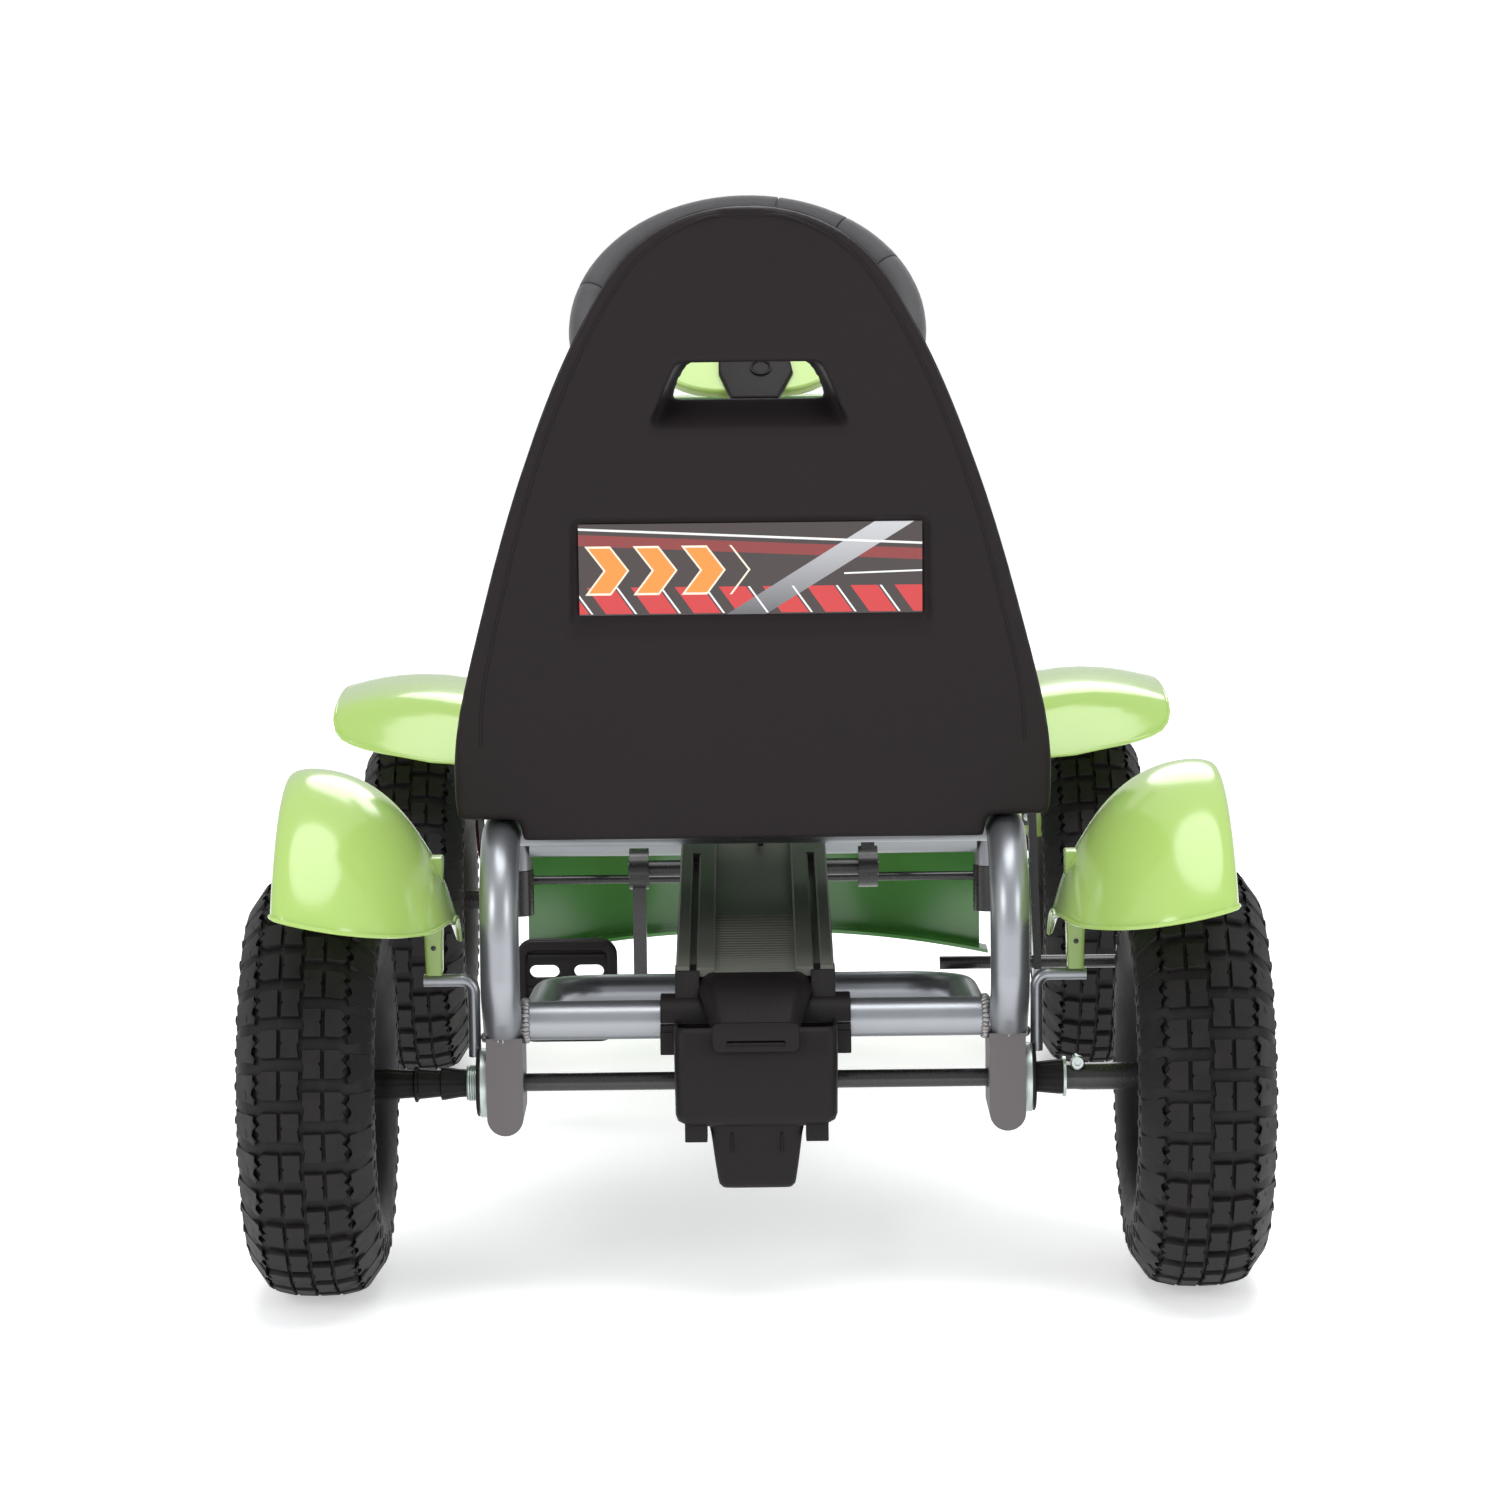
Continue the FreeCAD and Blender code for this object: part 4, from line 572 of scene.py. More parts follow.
def tyre(place, body, mirror, widen=1.0):
    node = "tyre_" + place
    centre, _ = middle_of(node)
    bm = bmesh.new()
    half = [(x * MM, r * MM) for x, r in CROWN]
    inner = [(0.024, 0.0765), (-0.024, 0.0765)]
    turn(bm, half + inner + [(-x, r) for x, r in half[:0:-1]], centre, segments=96)
    pitch = 2 * math.pi / PITCHES
    for n in range(PITCHES):
        for side in (-1, 1):
            angle = (n + (0.0 if side < 0 else 0.5)) * pitch
            for corners, shift in ((CENTRE_BLOCK, 0.0), (SECOND_BLOCK, 0.0), (SHOULDER_BLOCK, 0.05)):
                placed = [(side * x, along * mirror) for x, along in corners]
                lug(bm, centre, placed, angle + shift * pitch * mirror)
            for share, radius in ((0.0, 119.0), (0.5, 113.0)):
                side_nub(bm, centre, side, angle + share * pitch, radius)
    for vertex in bm.verts:
        vertex.co.x = centre.x + (vertex.co.x - centre.x) * widen
    return finish_piece("tyre_tread_" + place, bm, tyre_rubber, body, "tyre", node, crease=40)


LOADED = 1.07
tyres = [tyre("rear_left", "rear_left_wheel", 1, LOADED), tyre("rear_right", "rear_axle_set", -1, LOADED),
         tyre("front_left", "front_left_wheel", 1), tyre("front_right", "front_right_wheel", -1)]
print("tyres:", [(made.name, len(made.data.polygons)) for made in tyres])

# %% [markdown]
# The bucket seat is one blow-moulded shell with soft corners everywhere. Its solid has the
# right form but hard edges. A copy is rebuilt as one even skin of small voxels and then
# relaxed, so the corners round over as molten plastic does, and the shape stays in place.
# Two tapered cutters open the handle and the label's recess: each has a long sloped lower
# lip, because the mould half that formed it had to slide out downward.

# %% Seat shell
SEAT_BACK_FOOT, SEAT_BACK_TOP = (-0.45, 0.345), (-0.51, 0.78)
SKIN_VOXEL, CALM_ROUNDS = 0.0028, 9
FLARE, FLARE_TOP, FLARE_REACH = 0.028, 0.62, 0.2


def on_back(x, z, out=0.0):
    """A point on the leaning back's rear face, moved out to the rear by a distance."""
    (foot_y, foot_z), (top_y, top_z) = SEAT_BACK_FOOT, SEAT_BACK_TOP
    share = (z - foot_z) / (top_z - foot_z)
    return Vector((x, foot_y + (top_y - foot_y) * share - out, z))


def hull(bm, points):
    made = [bm.verts.new(point) for point in points]
    bmesh.ops.convex_hull(bm, input=made)


def tapered_cutter(rear, deep):
    """Each end is (half width low, half width high, z low, z high, how deep in the seat)."""
    bm = bmesh.new()
    points = []
    for low_half, high_half, low, high, inward in (rear, deep):
        for half, z in ((low_half, low), (high_half, high)):
            points += [on_back(side * half, z, -inward) for side in (-1, 1)]
    hull(bm, points)
    return mesh_object("cutter", bm, seat_black)


def even_skin(made):
    skin = made.modifiers.new("even skin", "REMESH")
    skin.mode, skin.voxel_size = "VOXEL", SKIN_VOXEL


def relaxed_seat(sill, cutters):
    bm = bmesh.new()
    bm.from_mesh(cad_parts["seat_shell"].data)
    hull(bm, sill)
    made = mesh_object("seat_shell_moulded", bm, seat_black)
    even_skin(made)
    for cutter in cutters:
        opening = made.modifiers.new("opening", "BOOLEAN")
        opening.operation, opening.object = "DIFFERENCE", cutter
    even_skin(made)
    calm = made.modifiers.new("relaxed", "SMOOTH")
    calm.factor, calm.iterations = 0.5, CALM_ROUNDS
    bake(made)
    for cutter in cutters:
        bpy.data.objects.remove(cutter)
    for vertex in made.data.vertices:
        vertex.co.x *= 1 + FLARE * max(0, min(1, (FLARE_TOP - vertex.co.z) / FLARE_REACH))
    for face in made.data.polygons:
        face.material_index = 0
    return declare(made, "frame", "seat_shell")


handle_sill = [on_back(side * 0.068, z, -deep) for side in (-1, 1)
               for z, deep in ((0.616, 0.004), (0.616, 0.033), (0.653, 0.033), (0.632, 0.004))]
handle = tapered_cutter((0.072, 0.05, 0.6225, 0.672, -0.002), (0.058, 0.047, 0.652, 0.671, 0.04))
recess = tapered_cutter((0.1265, 0.1265, 0.475, 0.563, -0.002), (0.1225, 0.1225, 0.49, 0.5595, 0.0076))
seat = relaxed_seat(handle_sill, (handle, recess))
print("seat:", len(seat.data.polygons), "faces")

# %% [markdown]
# Where the two mould halves met, a fine lip runs round the arch. It catches the light as a
# thin pale line and shows how thick the back is. It is a narrow ribbon that follows the same
# outline as the shell, drawn here as a smooth curve through a few widths of the arch.

# %% Parting lip of the seat
ARCH = ((0.2018, 0.4), (0.1995, 0.435), (0.1904, 0.48), (0.1677, 0.569), (0.1418, 0.643),
        (0.11385, 0.7017), (0.0828, 0.7474), (0.0414, 0.7735), (0.0, 0.78))


def smooth_line(points, steps=6):
    """Points of a smooth curve through the given ones."""
    points = [Vector(point) for point in points]
    whole = [points[0]] + points + [points[-1]]
    line = []
    for a, b, c, d in zip(whole, whole[1:], whole[2:], whole[3:]):
        for step in range(steps):
            t = step / steps
            line.append(0.5 * (2 * b + (c - a) * t + (2 * a - 5 * b + 4 * c - d) * t ** 2
                               + (3 * b - a - 3 * c + d) * t ** 3))
    return line + [points[-1]]


def sweep(bm, path, section, up=(0, 0, 1), closed=False):
    """Carries a closed section of (across, up) points along a path."""
    rings = []
    for n, spot in enumerate(path):
        before = path[n - 1] if n or closed else path[0]
        after = path[(n + 1) % len(path)] if n + 1 < len(path) or closed else path[-1]
        ahead = (after - before).normalized()
        across = ahead.cross(Vector(up)).normalized()
        rise = across.cross(ahead)
        rings.append([spot + across * x + rise * y for x, y in section])
    loft(bm, rings, capped=not closed, loop=closed)


arch = smooth_line(ARCH)
arch = arch[:-1] + [Vector((-point.x, point.y)) for point in arch[::-1]]
bm = bmesh.new()
for inset, out, thick in ((0.0006, -0.0185, 0.0011), (0.0085, -0.0004, 0.0012)):
    rim = []
    for x, z in arch:
        pull = inset * (1 if x > 0 else -1) * min(1, abs(x) / 0.04)
        rim.append(on_back(x - pull, z - inset * min(1, 0.02 / (abs(x) + 0.02)), out))
    sweep(bm, rim, round_section(thick, 6), up=(0, 1, 0))
finish_piece("seat_parting_lip", bm, seat_black, "frame", "seat_plastic")
print("seat lip: 2 lines of", len(arch), "points")

# %% [markdown]
# Behind the seat a black moulded box wraps the rear sprocket. The real one is a thin shell:
# a rounded tub with a narrow tongue under the chain, two small feet and a clamp on either
# side. It is lofted from U-shaped plans, level by level, and given its wall at the end.

# %% Chain box
def u_plan(half, rear, front, radius, z):
    line = [(-half, front)]
    for side, start in ((-1, 180), (1, 270)):
        line += arc(side * (half - radius), rear + radius, radius, start, 6)
    return [Vector((x, y, z)) for x, y in line + [(half, front)]]


def walled(name, rows, wall, material, replaces=(), body="frame", flip=False):
    """A sheet joined from rows of points, with a wall on its inner side and softened edges."""
    bm = bmesh.new()
    loft(bm, [[point * MM for point in row] for row in rows], capped=False, around=False)
    if flip:
        bmesh.ops.reverse_faces(bm, faces=bm.faces)
    made = mesh_object(name, bm, material, closed=False)
    thick = made.modifiers.new("wall", "SOLIDIFY")
    thick.thickness, thick.offset = wall * MM, -1
    round_edges(made, 0.0006, 2, 0.9)
    return declare(made, body, replaces, crease=50)


# Each level is (height, half width, rear face, corner radius); the tongue starts at its height.
BOX_LEVELS = ((203, 57, -499, 8), (199, 58, -503.5, 8), (180, 58, -505, 8), (140, 57.5, -505, 9),
              (135.5, 56, -503.5, 9), (132.5, 52, -500, 9), (131.3, 48, -497, 9), (131, 37, -493, 6),
              (129, 33.5, -491.5, 5), (124, 32.5, -491, 5), (104, 30, -488, 5), (90, 28, -485, 5),
              (86, 27.2, -484, 5), (83, 25, -481, 5), (82, 21, -477, 5), (81.8, 8, -462, 5))
TONGUE_TOP = 131
plans = [u_plan(half, rear, -449 if z > TONGUE_TOP else -441, radius, z)
         for z, half, rear, radius in BOX_LEVELS]
walled("chain_box_tub", plans, 2.4, guard_black, ("rear_chain_box", "guard_latch"),
       flip=True)

# The saddle's stations are (y, z, half width); its edges roll down by a drop.
saddle = ((-430, 233, 42), (-446, 232.5, 42), (-462, 229.5, 41), (-476, 223, 38), (-489, 213.5, 34.5),
          (-499, 204, 31.5), (-505, 197, 30.5), (-508, 191, 30), (-508.5, 188.6, 28.5))
FLAT_SHARE = 0.72
rows = []
for n, (y, z, half) in enumerate(saddle):
    before, after = saddle[max(n - 1, 0)], saddle[min(n + 1, len(saddle) - 1)]
    ahead = Vector((0, after[0] - before[0], after[1] - before[1])).normalized()
    inward = Vector((1, 0, 0)).cross(ahead)
    if inward.z > 0:
        inward = -inward
    drop = 9 if n < 6 else 4
    section = []
    for share in (0, 0.4, FLAT_SHARE, 0.8, 0.87, 0.93, 0.97, 1.0):
        rolled = min(1, max(0, (share - FLAT_SHARE) / (1 - FLAT_SHARE)))
        section.append((share * half, drop * (1 - math.cos(math.pi / 2 * rolled))))
    section = [(-x, d) for x, d in section[:0:-1]] + section
    rows.append([Vector((x, y, z)) + inward * d for x, d in section])
walled("chain_box_saddle", rows, 2.2, guard_black, flip=True)


CROSSBAR = Vector((0, -450, 200))
CLAMP_INNER, CLAMP_OUTER = 14.2, 18.6


def bar_clamp(bm, low_x, high_x, start, end, steps=14):
    """Part of a tube round the crossbar, from one angle to another, seen from the left."""
    rings = []
    for x, trim in ((low_x, 0.8), (low_x + 0.8, 0), (high_x - 0.8, 0), (high_x, 0.8)):
        ring = []
        for radius, order in ((CLAMP_OUTER - trim, 1), (CLAMP_INNER, -1)):
            for step in range(steps + 1)[::order]:
                angle = math.radians(start + (end - start) * step / steps)
                ring.append((CROSSBAR + polar(x, radius, math.pi - angle)) * MM)
        rings.append(ring)
    loft(bm, rings)


bm = bmesh.new()
for side in (-1, 1):
    low_x, high_x = sorted((side * 28, side * 68))
    for start, end in ((2, 178), (-86, -4)):
        bar_clamp(bm, low_x, high_x, start, end)
finish_piece("chain_box_clamps", bm, *BLACK_ON_FRAME)

bm = bmesh.new()
for side in (-1, 1):
    block(bm, (side * 0.0555, -0.4655, 0.1855), (0.0255, 0.006, 0.0165))
    block(bm, (side * 0.043, -0.4895, 0.1275), (0.016, 0.019, 0.015))
    block(bm, (side * 0.0178, -0.4905, 0.1175), (0.0016, 0.0035, 0.015))
    hull(bm, [Vector((side * x, y, z)) * MM for x in (40, 57.5)
              for y, z in ((-444, 234), (-428, 236), (-460, 214), (-428, 214))])
block(bm, (0, -0.5078, 0.1925), (0.042, 0.004, 0.003))
finish_piece("chain_box_feet_and_cheeks", bm, *BLACK_ON_FRAME, bevel=(0.0012, 3))
lip = rounded_rectangle(0.06, 0.019, 0.0045, 4)
slit = rounded_rectangle(0.043, 0.0052, 0.0016, 3, (0, -0.0042))
plate("chain_box_latch", [lip, slit], 0.0042, 0.0009, Matrix.Translation((0, -0.5085, 0.1975)) @ UPRIGHT,
      *BLACK_ON_FRAME)
print("chain box: tub, saddle, clamps, latch")

# %% [markdown]
# Ahead of the box the long guard covers the chain up to the cranks. Its top is a shallow
# channel between two raised rails, each with a sunk line in it, and the rear half of the
# channel is stiffened by fine cross ribs. All of that follows one curve in side view.

# %% Chain guard
GUARD_LINE = ((0, -443, 232), (0, -335, 246), (0, -165, 266), (0, 10, 282), (0, 60, 291), (0, 100, 295))
guard_path = [point * MM for point in smooth_line(GUARD_LINE, 8)]


def strip(bm, low_x, high_x, height, start):
    """A raised rail with chamfered edges, from one station of the guard to its end."""
    sunk, edge = -0.003, 0.0012
    sweep(bm, guard_path[start:], [(low_x, sunk), (high_x, sunk), (high_x, height - edge),
                                   (high_x - edge, height), (low_x + edge, height), (low_x, height - edge)])


# Each rail is (inner edge, outer edge, height, first station).
RAILS = ((0.047, 0.0565, 0.005, 0), (0.029, 0.042, 0.0042, 0), (0.04, 0.049, 0.0046, 17))
bm = bmesh.new()
for side in (-1, 1):
    for low, high, height, start in RAILS:
        strip(bm, *sorted((side * low, side * high)), height, start)
finish_piece("chain_guard_rails", bm, guard_painted_sheen, "frame", "black_plastic", crease=30)

bm = bmesh.new()
RIBS, RIBS_PER_STATION = 26, 2.6
for n in range(RIBS):
    share = n / RIBS_PER_STATION
    first = guard_path[int(share)]
    spot = first.lerp(guard_path[int(share) + 1], share % 1)
    sweep(bm, [Vector((x, spot.y, spot.z)) for x in (-0.029, 0.029)], round_section(0.0013, 8))
finish_piece("chain_guard_ribs", bm, guard_painted_sheen, "frame", "black_plastic")

bm = bmesh.new()
slot_section = [(0.0035, -0.002), (0.008, -0.002), (0.008, 0.0008), (0.0035, 0.0008)]
sweep(bm, guard_path[19:25], slot_section)
finish_piece("chain_guard_slot", bm, black_paint, "frame", "black_plastic", bevel=(0.0002, 1))
print("chain guard: rails and ribs on", len(guard_path), "stations")

# %% [markdown]
# The rear axle is spaced by cheap, honest parts: a threaded collar, ribbed nylon sleeves that
# swell towards the wheel, thin washers, a bolt through the driven hub. Each is turned from
# its own profile of (distance from the middle, radius); the ribs are a small ripple in it.

# %% Axle sleeves, collar and bearing covers
AXLE = Vector((0, -0.435, 0.152))
BORE, RIB_DEPTH, RIB_COUNT = 8.2, 0.022, 14


def spindle(name, side, marks, material, body="rear_axle_set", slot="black_plastic", ribs=0, replaces=()):
    """A piece turned on the axle from (distance from the middle, radius) marks, in millimetres."""
    bm = bmesh.new()
    wobble = (lambda angle: 1 + RIB_DEPTH * (1 if math.cos(ribs * angle) > 0 else -1)) if ribs else None
    turn(bm, [(side * along * MM, radius * MM) for along, radius in marks], AXLE, segments=72,
         wobble=wobble)
    return finish_piece(name, bm, material, body, slot, replaces, crease=32)


def washer(name, start, radius, end):
    spindle(name, 1, ((start, BORE), (start, radius), (end, radius), (end, BORE)), zinc, slot="zinc")


LEFT_SLEEVE = ((209, BORE), (209, 9.7), (214, 10.0), (225, 11.8), (227, 11.8), (227.6, 9.6), (229, 9.6),
               (243, 11.0), (244.2, 13.2), (246.0, 13.2), (247, 9.9), (258, 10.6), (266, 11.4),
               (268, 10.9), (277.5, 10.9), (277.5, BORE))
RIGHT_CONE = ((201.8, BORE), (201.8, 10.6), (204, 10.9), (219, 12.4), (221, 12.2), (221, BORE))
RIGHT_TUBE = ((223.4, BORE), (223.4, 9.4), (230, 9.4), (236, 9.9), (250, 9.9), (277.5, 10.2), (277.5, BORE))
COVER = ((199, 14.2), (199, 24.2), (200.6, 24.2), (201.4, 22.6), (201.4, 15.4), (200.8, 14.2))
RING = ((191, 16.0), (191, 24.6), (192, 25.0), (198.2, 25.0), (199, 24.4), (199, 16.0))
spindle("sleeve_left", -1, LEFT_SLEEVE, guard_black, ribs=RIB_COUNT, replaces="axle_sleeves")
spindle("sleeve_right_cone", 1, RIGHT_CONE, guard_black, ribs=RIB_COUNT)
spindle("sleeve_right_tube", 1, RIGHT_TUBE, black_paint)
thread = [(199.6, BORE), (199.6, 13.0)]
for n in range(5):
    start = 200.2 + 1.6 * n
    thread += [(start, 13.0), (start + 0.7, 13.0), (start + 1.1, 12.1)]
spindle("collar_left", -1, thread + [(208.6, 12.8), (208.6, BORE)], zinc, slot="zinc")
washer("washer_right", 199.6, 13.6, 201.4)
washer("washer_right_outer", 221.2, 14.6, 223.2)
for name, side in SIDES:
    spindle("bearing_cover_" + name, side, COVER, guard_black, "frame")
    spindle("bearing_ring_" + name, side, RING, zinc, "frame", "zinc")

bm = bmesh.new()
bolt_spot = Vector((0.2315, -0.4405, 0.1635))
turn(bm, [(0.0, 0.0), (0.0, 0.0052), (0.0032, 0.0052), (0.004, 0.0042), (0.004, 0.0024), (0.0022, 0.0022),
          (0.0022, 0.0)], bolt_spot, (0, -1, 0), 24, closed=False)
turn(bm, [(-0.02, 0.0), (-0.02, 0.0024), (0.0, 0.0024), (0.0, 0.0)], bolt_spot, (0, -1, 0), 16,
     closed=False)
finish_piece("hub_clamp_bolt", bm, zinc, "rear_axle_set", "zinc")
print("axle: sleeves, collar, washers, covers")

# %% [markdown]
# The frame is welded from bent tube, and the beads are left as laid: a row of overlapping
# scallops round each joint. A seeded generator makes every bead differ, always the same way.

# %% Weld beads
dice = random.Random(7)
SCALLOP = 0.003
TUBE = 0.0143


def weld(bm, centre, axis, radius, thick):
    """Scallops round a joint, seen as a ring of small flattened domes."""
    where = axis_frame(axis, centre)
    count = int(2 * math.pi * radius / SCALLOP)
    for n in range(count):
        angle = 2 * math.pi * (n + 0.5) / count
        out = radius + dice.uniform(-0.0003, 0.0004)
        spot = polar(dice.uniform(-0.0004, 0.0004), out, angle)
        made = bmesh.ops.create_icosphere(bm, subdivisions=2, radius=thick)["verts"]
        grow = Matrix.Diagonal((dice.uniform(1.1, 1.4), dice.uniform(0.8, 1.0), 0.75, 1))
        bmesh.ops.transform(bm, matrix=where @ Matrix.Translation(spot)
                            @ Matrix.Rotation(angle, 4, "X") @ grow, verts=made)


bm = bmesh.new()
for _, side in SIDES:
    weld(bm, Vector((side * 0.1645, -0.45, 0.2)), (1, 0, 0), TUBE, 0.0026)
    weld(bm, Vector((side * 0.181, -0.45, 0.1885)), (0, 0, 1), TUBE, 0.0024)
finish_piece("weld_beads", bm, weld_metal, "frame", "silver_tube", crease=60)
print("welds: 4 joints")

# %% [markdown]
# A pedal is an open moulded plate: rounded corners, oval windows, a raised border for the
# sole, a boss for the pin and an amber reflector on either short edge. The plate reaches
# further above its pin than below, so that it hangs with the sole up.


# %% Pedals
PEDAL_WIDTH, PEDAL_HEIGHT, PEDAL_CORNER = 0.081, 0.083, 0.013


def pedal_outline(by=0.0):
    """The pedal's outline, drawn in by a margin."""
    return rounded_rectangle(PEDAL_WIDTH - 2 * by, PEDAL_HEIGHT - 2 * by, PEDAL_CORNER - by, 6)


for name, side in SIDES:
    body, (middle, extent) = name + "_pedal", middle_of("pedal_" + name)
    raised = middle + Vector((0, 0, (extent.z - PEDAL_HEIGHT) / 2))
    upright = Matrix.Translation(raised) @ UPRIGHT
    windows = [rounded_rectangle(0.028, 0.0145, 0.0072, 5, (x, y))
               for x in (-0.0185, 0.0185) for y in (-0.023, 0.016)]
    plate("pedal_plate_" + name, [pedal_outline()] + windows, 0.0105, 0.0016,
          upright, guard_black, body, "black_plastic", "pedal_" + name)
    plate("pedal_border_" + name, [pedal_outline(0.0002), pedal_outline(0.0055)], 0.0178, 0.0012,
          upright, guard_black, body, "black_plastic")
    bm = bmesh.new()
    turn(bm, [(-0.04, 0.006), (-0.04, 0.0084), (-0.0385, 0.0088), (0.0385, 0.0088),
              (0.04, 0.0084), (0.04, 0.006)], middle, segments=32)
    for row in (-0.033, -0.009, 0.002, 0.03):
        for face in (-0.0066, 0.0066):
            block(bm, raised + Vector((0, face, row)), (0.064, 0.0034, 0.003))
    finish_piece("pedal_boss_" + name, bm, guard_black, body, "black_plastic", bevel=(0.0006, 2))
    bm = bmesh.new()
    for end in (-PEDAL_HEIGHT / 2, PEDAL_HEIGHT / 2):
        block(bm, raised + Vector((0, 0, end - math.copysign(0.0014, end))), (0.052, 0.0095, 0.003))
        for n in range(-4, 5):
            block(bm, raised + Vector((n * 0.0055, 0, end)), (0.003, 0.008, 0.0008))
    finish_piece("pedal_reflector_" + name, bm, amber, body, "black_plastic", bevel=(0.0004, 2))
print("pedals: plates, borders, reflectors")

# %% [markdown]
# The steering wheel is a steel ring in foam sleeves, with seams where the sleeves meet. A
# green moulded pad fills its middle, and a dark cover with a round boss lies over the lower
# spoke. All of it is drawn flat and then leaned back with the column.

# %% Steering wheel
HUB = Matrix.Translation((0, -0.045, 0.676)) @ Matrix.Rotation(math.radians(45), 4, "X")


WHEEL_RADIUS, FOAM_RADIUS, FOAM_SIDES = 0.129, 0.012, 28


def foam_sleeve(bm, start, end):
    """A sleeve from one angle to another; its ends are pinched where the next one meets it."""
    turns = max(3, int((end - start) / 4))
    marks = [(start + 0.05, 0.86), (start + 0.35, 0.97)]
    marks += [(start + 0.8 + (end - start - 1.6) * n / turns, 1.0) for n in range(turns + 1)]
    marks += [(end - 0.35, 0.97), (end - 0.05, 0.86)]
    rings = []
    for angle, grow in marks:
        around = Matrix.Rotation(math.radians(angle), 4, "Z")
        rings.append([HUB @ around @ Vector((WHEEL_RADIUS + x, 0, z))
                      for x, z in round_section(FOAM_RADIUS * grow, FOAM_SIDES)])
    loft(bm, rings)


bm = bmesh.new()
seams = (-38, 30, 54, 79, 162, 200, 322)
for start, end in zip(seams, seams[1:]):
    foam_sleeve(bm, start, end)
finish_piece("steering_foam", bm, grip_foam, "steering_set", "grip_foam", "steering_grip_ring", crease=50)

PAD_RADIUS, PAD_LOBES = 0.074, 0.1
pad = []
for degrees in range(0, 360, 5):
    angle = math.radians(degrees)
    reach = PAD_RADIUS * (1 - PAD_LOBES * math.sin(3 * angle))
    pad.append((reach * math.cos(angle), reach * math.sin(angle)))
plate("steering_pad", [pad], 0.01, 0.003, HUB @ Matrix.Translation((0, 0, -0.001)), green,
      "steering_set", "green_plastic")
cover = [(-0.021, 0.0), (-0.021, -0.052), (-0.012, -0.078), (0.022, -0.078), (0.033, -0.052), (0.024, 0.0)]
plate("steering_lower_cover", [cover], 0.007, 0.002, HUB @ Matrix.Translation((0, 0, 0.0052)),
      guard_black, "steering_set", "black_plastic")
bm = bmesh.new()
column = HUB.to_3x3() @ Vector((0, 0, 1))
turn(bm, [(0.0, 0.006), (0.0006, 0.0082), (0.0016, 0.0086), (0.0018, 0.0074), (0.001, 0.0062)],
     HUB @ Vector((0.01, -0.049, 0.0086)), column, 32)
turn(bm, [(-0.004, 0.0), (-0.004, 0.0262), (0.0085, 0.0262), (0.0115, 0.0235), (0.0125, 0.019),
          (0.0128, 0.0)], HUB.translation, column, 48, closed=False)
finish_piece("steering_boss", bm, guard_black, "steering_set", "black_plastic", "steering_cap")
print("steering wheel:", len(seams) - 1, "foam sleeves")

# %% [markdown]
# The rear fenders are vacuum-formed shells: nearly flat over the tyre, then falling inward
# in a long curve. One half section is carried round the wheel. Each of its points stops at
# its own angle, where the trimmed rear edge crosses it, and a rolled bead follows that edge.

# %% Rear fenders
FENDER_AXIS = Vector((0, -435.0, 201.6))
FENDER_SECTION = ((334, 169), (332.5, 174), (328.5, 177.6), (318, 179.4), (302, 177.6), (285, 172),
                  (268, 161.5), (252, 146), (238, 126), (226, 104), (215, 71))
FENDER_FRONT = math.radians(40)


EDGE_HEIGHT, EDGE_BEND = 276, 230
COLUMN_STEPS = 26


def fender_column(x, radius):
    """The angles of one column of points, down to the trimmed rear edge."""
    edge = EDGE_HEIGHT + (x - EDGE_BEND) * (0.218 if x > EDGE_BEND else 0.06)
    last = math.pi / 2 + math.acos(min(0.98, (edge - FENDER_AXIS.z) / radius))
    return [FENDER_FRONT + (last - FENDER_FRONT) * n / COLUMN_STEPS for n in range(COLUMN_STEPS + 1)]


LEG = [(-0.0058, 0.0), (0.0058, 0.0), (0.0072, 0.05), (0.0078, 0.086), (-0.0078, 0.086), (-0.0072, 0.05)]
for name, side in SIDES:
    columns = [[FENDER_AXIS + polar(side * x, radius, angle) for angle in fender_column(x, radius)]
               for x, radius in smooth_line(FENDER_SECTION, 3)]
    rows = [list(row) for row in zip(*columns)]
    walled("rear_fender_shell_" + name, rows, 2.4, green, "rear_fender_" + name,
           flip=side < 0)
    bm = bmesh.new()
    trim = [row[-1] for row in rows] + rows[-1][-2::-1]
    sweep(bm, [point * MM for point in trim], round_section(0.0015), up=(0.3, 0.2, 1))
    finish_piece("rear_fender_bead_" + name, bm, green, "frame", "green_plastic")
    bm = bmesh.new()
    where = Matrix.Translation((side * 0.231, -0.427, 0.2305)) @ UPRIGHT
    loft(bm, [[where @ Vector((*corner, height)) for corner in LEG] for height in (-0.009, 0.009)])
    finish_piece("rear_fender_leg_" + name, bm, green, "frame", "green_plastic", bevel=(0.0014, 3))
    stud("rear_fender_rivet_" + name, [(0.0, 0.0), (0.0, 0.0019), (0.0006, 0.0016), (0.0009, 0.0)],
         (side * 0.231, -0.4362, 0.251), (0, -1, 0), 16, black_paint, "frame", "green_plastic")
print("rear fenders:", len(rows), "x", len(rows[0]), "points each")

# %% [markdown]
# A front fender is a wide leaf over the tyre, crowned a little across, flat on top and bent
# down at the rear. A thin black rod carries it from the kingpin, and on the right a green
# moulded bracket with a window braces it.

